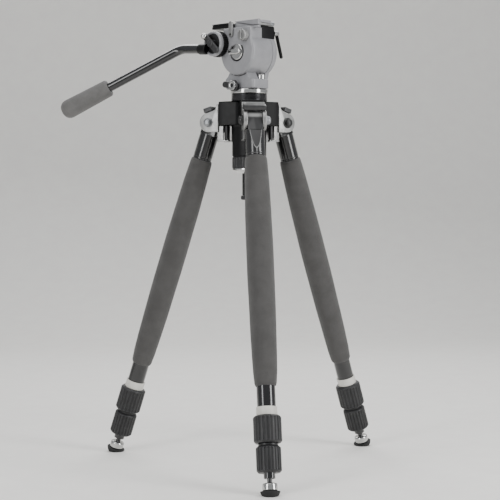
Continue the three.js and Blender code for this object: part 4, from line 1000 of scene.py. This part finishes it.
        # A thin black ring on the floor of the drum's recess: painted shade round the drag knob.
        recess_shade_ring = lathe([[4.5, front - 2.9], [19.8, front - 2.9], [19.8, front - 2.7], [4.5, front - 2.7]], 96,
                     loop=True).facing("x")
        make("drag_knob_recess_shade", [recess_shade_ring], self.tilt, "tilt_head", BLACK_ACETAL_AND_SHADE)
        disc = lathe([[0, face], [16.6, face], [16.6, face + 2], [15, face + 3.6], [0, face + 4]],
                     96, 0.6).facing("x")
        grip = slab(strap((-11.5, 0), (11.5, 0), 11), face + 3, front + 10, 2.6, 7).facing("x")
        stem = lathe([[0, 29], [4, 29], [4, face + 1], [0, face + 1]], 40).facing("x")
        make("drag_knob_chromed", [disc, grip, stem], self.tilt, "tilt_drag_knob", CHROME,
             ["tilt_drag_knob"])
        place = self.tilt.moved(0, 24, 32)
        low = front + GAP
        knob = lathe([[0, low], [12, low], *[[12, low + z] for z in np.linspace(1, 8.4, 8)], [10.6, low + 10.7],
                      [0, low + 10.7]], 160, 0.7, ribs(18, 0.8, low + 0.4, low + 9.4, 1.0)).facing("x")
        ridge = slab(rectangle(-9.6, 9.6, -2, 2, 1.6), low + 9.8, low + 13.2, 1.2, 5)
        ridge = Shell(np.stack([ridge.points[:, 2], ridge.points[:, 1], ridge.points[:, 0]], 1), ridge.quads,
                      ridge.caps)
        make("tilt_lock_ribbed", [knob, ridge], place, "tilt_lock_knob", TUMBLED_ALLOY,
             ["tilt_lock_knob"])

    def directions(self) -> tuple[np.ndarray, np.ndarray]:
        """The handle's two directions, before and after its bend."""
        rise, away, drop = (math.radians(a) for a in (self.handle_rise, self.handle_away, self.handle_drop))
        near = np.array([0, -math.cos(rise), math.sin(rise)])
        far = np.array([math.cos(drop) * math.sin(away), -math.cos(drop) * math.cos(away), -math.sin(drop)])
        return near, far

    def handle(self) -> None:
        """The toothed rosette, the cupped clamp with its socket and lever, the bent tube and the foam grip."""
        radius, y, z = self.rosette
        place = self.tilt.moved(0, y, z)
        low = self.drum_front + GAP
        high = low + 12.7
        wall = [[radius, x] for x in np.linspace(low + 1, high - 1, 8)]
        wheel = lathe([[0, low], [radius - 1, low], *wall, [radius - 1, high], [0, high]], 288, 0.4,
                      ribs(36, 1.0, low, high, 0.8, 2.0)).facing("x")
        make("rosette_toothed", [wheel], place, "tilt_head", BLACK_POWDER, ["rosette"])

        face = high + GAP
        outer = face + 9.7
        near, far = self.directions()
        start = np.array([face + self.handle_radius + 0.45, -64, 8])
        cup = lathe([[0, face], [25, face], [26, face + 1], [26, outer - 2], [24, outer], [22, outer],
                     [21, outer - 1.2], [20.6, outer - 4], [0, outer - 4]], 128, 0.9).facing("x").shifted(0, y, z)
        across = np.cross(near, far)
        across /= np.linalg.norm(across)
        socket_path = start + np.linspace(-2, 21, 12)[:, None] * near
        socket_radius = np.concatenate([[10.4, 11.2], np.full(8, 11.4), [11.2, 10.4]])
        side = np.cross(near, [0, 0, 1.0])
        socket = swept(socket_path, side / np.linalg.norm(side), socket_radius, 64)
        socket.points[:, 0] = np.maximum(socket.points[:, 0], face)
        make("handle_clamp_cup", [cup], self.tilt, "handle", GREY_PAINT, ["handle_clamp"])
        make("handle_clamp_socket", [socket], self.tilt, "handle", BLACK_POWDER)
        floor = lathe([[8.3, outer - 3.9], [20.5, outer - 3.9], [20.4, outer - 3.4], [8.3, outer - 3.4]], 96, 0.1,
                      loop=True).facing("x").shifted(0, y, z)
        make("handle_clamp_washer", [floor], self.tilt, "handle", BLACK_ACETAL_AND_SHADE)

        inner = outer + GAP
        slope = math.radians(-43)
        unit = np.array([math.cos(slope), math.sin(slope)])
        bar = slab(strap(-21.5 * unit, 21 * unit, 14), inner, inner + 5.7, 1.8, 5).facing("x")
        hub = lathe([[0, outer - 3.7], [8, outer - 3.7], [8, inner + 6.6], [6.8, inner + 7.4], [0, inner + 7.4]], 64,
                    0.6).facing("x")
        make("clamp_wing_lever", [bar, hub], place, "clamp_lever", DARK_ALLOY, ["clamp_lever"])
        t = np.radians(np.linspace(-90, 90, 32))
        ball = lathe(np.stack([6.5 * np.cos(t), 6.5 * np.sin(t)], 1), 64).facing("x")
        ball = ball.shifted(inner + 6.7, -23 * unit[0], -23 * unit[1])
        make("clamp_lever_ball", [ball], place, "clamp_lever", CHROME)

        bend = start + 78.5 * near
        grip_start = bend + 175 * far
        s = np.linspace(0, 1, 25)[:, None]
        curve = (1 - s) ** 2 * (bend - 16 * near) + 2 * s * (1 - s) * bend + s**2 * (bend + 16 * far)
        path = np.vstack([start + np.linspace(0, 60, 8)[:, None] * near, curve,
                          bend + np.linspace(24, 266, 24)[:, None] * far])
        tube = swept(path, across, np.full(len(path), self.handle_radius), 64)
        make("handle_bent_tube", [tube], self.tilt, "handle", BLACK_TUBE, ["handle_tube"])
        self.grip(grip_start, far)

    def grip(self, start: np.ndarray, along: np.ndarray) -> None:
        """The foam grip: a slow swelling to a round end, with a rolled rim where the tube goes in.

        Its profile is a radius that grows from 18 to 20 mm, then a quarter ellipse.
        """
        aside = np.cross([0.0, 0.0, 1.0], along)
        aside /= np.linalg.norm(aside)
        axes = np.stack([aside, np.cross(along, aside), along]) @ self.tilt.axes
        place = Place(self.tilt.origin + start @ self.tilt.axes, axes)
        t = np.linspace(0, math.pi / 2, 24)
        wall = np.stack([np.linspace(18.3, 20.2, 40), np.linspace(4.5, 98, 40)], 1)
        tip = np.stack([20.2 * np.cos(t) ** 0.8, 98 + 17.8 * np.sin(t)], 1)
        tip[-1, 0] = 0
        rim = [[0, 2.5], [10.1, 2.5], [10.6, 1.2], [13, 0.1], [15.5, 0.2], [17.4, 1.8]]
        profile = np.vstack([rim, wall, tip[1:]])
        # The grip's lighter foam is painted light, a lit copy of the sleeves' foam.
        piece = make("grip_foam", [lathe(profile, 128)], place, "handle", LIT_GRIP_FOAM, ["handle_grip"])

    def bed(self) -> None:
        """The sliding bed with its stepped rear end and safety button, the camera plate on it and its screw."""
        low = self.deck_top + GAP
        top = low + 4.8
        bar = slab(rectangle(-18, 20, -91, -20, 1.5), low, top, 0.6)
        rail = slab(rectangle(-18, 20, -19.9, 46, 1.5), low, top, 0.6)
        step = slab(rectangle(-18, 19, -91, -44, 1.5), top - 1, low + 8.2, 0.6)
        cap = slab(rectangle(-18, 20, -91, -44, 1.5), low + 9, low + 10.5, 0.5)
        neck = slab(rectangle(-17, 18, -90, -45, 1.5), low + 8, low + 9.2, 0.1)
        make("plate_bed_rail", [bar, step, neck], self.tilt, "plate", BLACK_POWDER,
             ["plate_bed"])
        make("plate_bed_cap", [cap], self.tilt, "plate", DARK_ALLOY)
        make("plate_bed_front", [rail], self.tilt, "plate", TUMBLED_ALLOY)
        button = lathe([[0, -30], [3.7, -30], [4.5, -29.2], [4.5, -17], [0, -17]], 48, 0.5).facing("x")
        make("safety_button", [button.shifted(0, 40, low + 4.5)], self.tilt, "plate", TURNED_STEEL)
        plate = slab(rectangle(-16, 18, -22, 48, 2), top + 0.3, top + 5.7, 0.7)
        pads = [slab(rectangle(-13, 15, y, y + 16, 1.5), top + 5.5, top + 5.68, 0.05) for y in (-19, 27)]
        make("camera_plate_painted", [plate, *pads], self.tilt, "plate", GREY_PAINT, ["camera_plate"])
        place = self.tilt.moved(1, 13, 0)
        screw = lathe([[0, top - 4.4], [7.5, top - 4.4], [7.5, top - 0.4], [3.2, top - 0.4], [3.2, top + 4.4],
                       [2.6, top + 5], [0, top + 5]], 48, 0.3)
        make("camera_screw_steel", [screw], place, "camera_screw", TURNED_STEEL, ["camera_screw"])

    def levers(self) -> None:
        """The plate's release lever, and the balance spring's lever with its light hub."""
        front = self.drum_front + 0.6
        arm = slab(strap((0, 0), (0, 22), 11), front, front + 3.9, 1.0, 5).facing("x")
        place = self.tilt.moved(0, -14, 36.2)
        make("release_lever_arm", [arm], place, "plate_lever", TUMBLED_ALLOY, ["plate_lever"])
        screw = lathe([[0, front + 3.6], [2.6, front + 3.6], [2.4, front + 4.3], [0, front + 4.4]],
                      40, 0.2).facing("x")
        make("release_lever_screw", [screw], place, "plate_lever", BLACK_ACETAL_AND_SHADE)
        outer = self.back - GAP
        place = self.tilt.moved(0, 37, 39.5)
        arm = slab(strap((0, 0), (14, -48.5), 7), outer - 10, outer - 6, 1.0, 5).facing("x")
        make("balance_lever_arm", [arm], place, "spring_lever", BLACK_POWDER, ["spring_lever"])
        hub = lathe([[0, outer - 11.7], [4.6, outer - 11.7], [5.5, outer - 10.8], [5.5, outer], [0, outer]], 64,
                    0.5).facing("x")
        make("balance_lever_hub", [hub], place, "spring_lever", TUMBLED_ALLOY)


# ---------------------------------------------------------------- studio


@dataclass
class Studio:
    """The pale floor, the soft lights and the camera."""

    column: np.ndarray

    def build(self) -> None:
        """Makes the floor, the lights, the surround and the camera."""
        self.floor()
        self.light("left_light", (-1.7, -1.5, 1.15), (0.55, 2.2), 26.0)
        self.light("right_light", (1.7, -1.3, 1.15), (0.7, 2.2), 44.0)
        self.light("top_light", (-0.3, -0.6, 2.7), (2.0, 2.0), 24.0)
        self.light("back_light", (0.3, 1.7, 2.2), (2.4, 1.4), 44.0)
        self.surround()
        self.camera()

    def floor(self) -> None:
        """A pale floor that curves up behind: y runs back, and height is a quarter circle past the bend."""
        run = np.linspace(-4, 2.2, 20)
        t = np.linspace(0, math.pi / 2, 16)[1:]
        level = np.stack([run, np.zeros_like(run)], 1)
        bend = np.stack([2.2 + 1.5 * np.sin(t), 1.5 - 1.5 * np.cos(t)], 1)
        line = np.vstack([level, bend, [[3.7, 5.0]]])
        x = np.broadcast_to(np.linspace(-6, 6, 12)[:, None], (12, len(line)))
        grid = np.stack([x, *(np.broadcast_to(line[None, :, k], x.shape) for k in (0, 1))], -1)
        shell = woven(grid, round_u=False)
        mesh = bpy.data.meshes.new("studio_floor")
        mesh.from_pydata(shell.points, [], shell.quads.tolist())
        mesh.shade_smooth()
        floor = bpy.data.objects.new("studio_floor", mesh)
        bpy.context.scene.collection.objects.link(floor)
        paper = Finish("studio_paper", "#eeede9", "#ebe9e6", 0.0, 0.85, 0.03, 2.0, 0.02, 60.0)
        mesh.materials.append(paper.material())

    def light(self, name: str, where: tuple[float, float, float], size: tuple[float, float], power: float) -> None:
        """A soft light aimed at the middle of the tripod.

        Args:
            name: The light's name.
            where: Its place from the column's foot, in metres.
            size: Its width and height, in metres.
            power: Its power in watts.
        """
        lamp = bpy.data.lights.new(name, "AREA")
        lamp.shape = "RECTANGLE"
        lamp.size, lamp.size_y = size
        lamp.energy = power
        obj = bpy.data.objects.new(name, lamp)
        foot = Vector((*self.column[:2], 0)) / 1000
        obj.location = foot + Vector(where)
        obj.rotation_euler = (foot + Vector((0, 0, 0.5)) - obj.location).to_track_quat("-Z", "Y").to_euler()
        bpy.context.scene.collection.objects.link(obj)

    def surround(self) -> None:
        """A pale grey surround that fills the shadows."""
        world = bpy.data.worlds.new("studio_surround")
        world.use_nodes = True
        background = world.node_tree.nodes["Background"]
        background.inputs["Color"].default_value = linear("#e6e8ea")
        background.inputs["Strength"].default_value = 0.6
        bpy.context.scene.world = world

    def camera(self) -> None:
        """The camera, low and far in front with a long lens."""
        data = bpy.data.cameras.new("studio_camera")
        data.lens = 98.5
        data.sensor_width = 36
        camera = bpy.data.objects.new("studio_camera", data)
        foot = Vector((*self.column[:2], 0)) / 1000
        camera.location = foot + Vector((-0.3524, -2.8297, 0.5732))
        camera.rotation_euler = Euler((math.radians(90 - 2.55), 0, math.radians(-7.13)))
        bpy.context.scene.collection.objects.link(camera)
        bpy.context.scene.camera = camera


def main() -> None:
    """Builds the studio, the legs, the crown and the head."""
    logging.basicConfig(level=logging.INFO, format="%(name)s: %(message)s")
    column = middle("column_tube")
    Studio(column).build()
    for name, azimuth in (("right", 30), ("left", 150), ("front", 270)):
        Leg(name, azimuth, column).build()
    Crown(column).build()
    VideoHead(column).build()


if __name__ == "__main__":
    main()
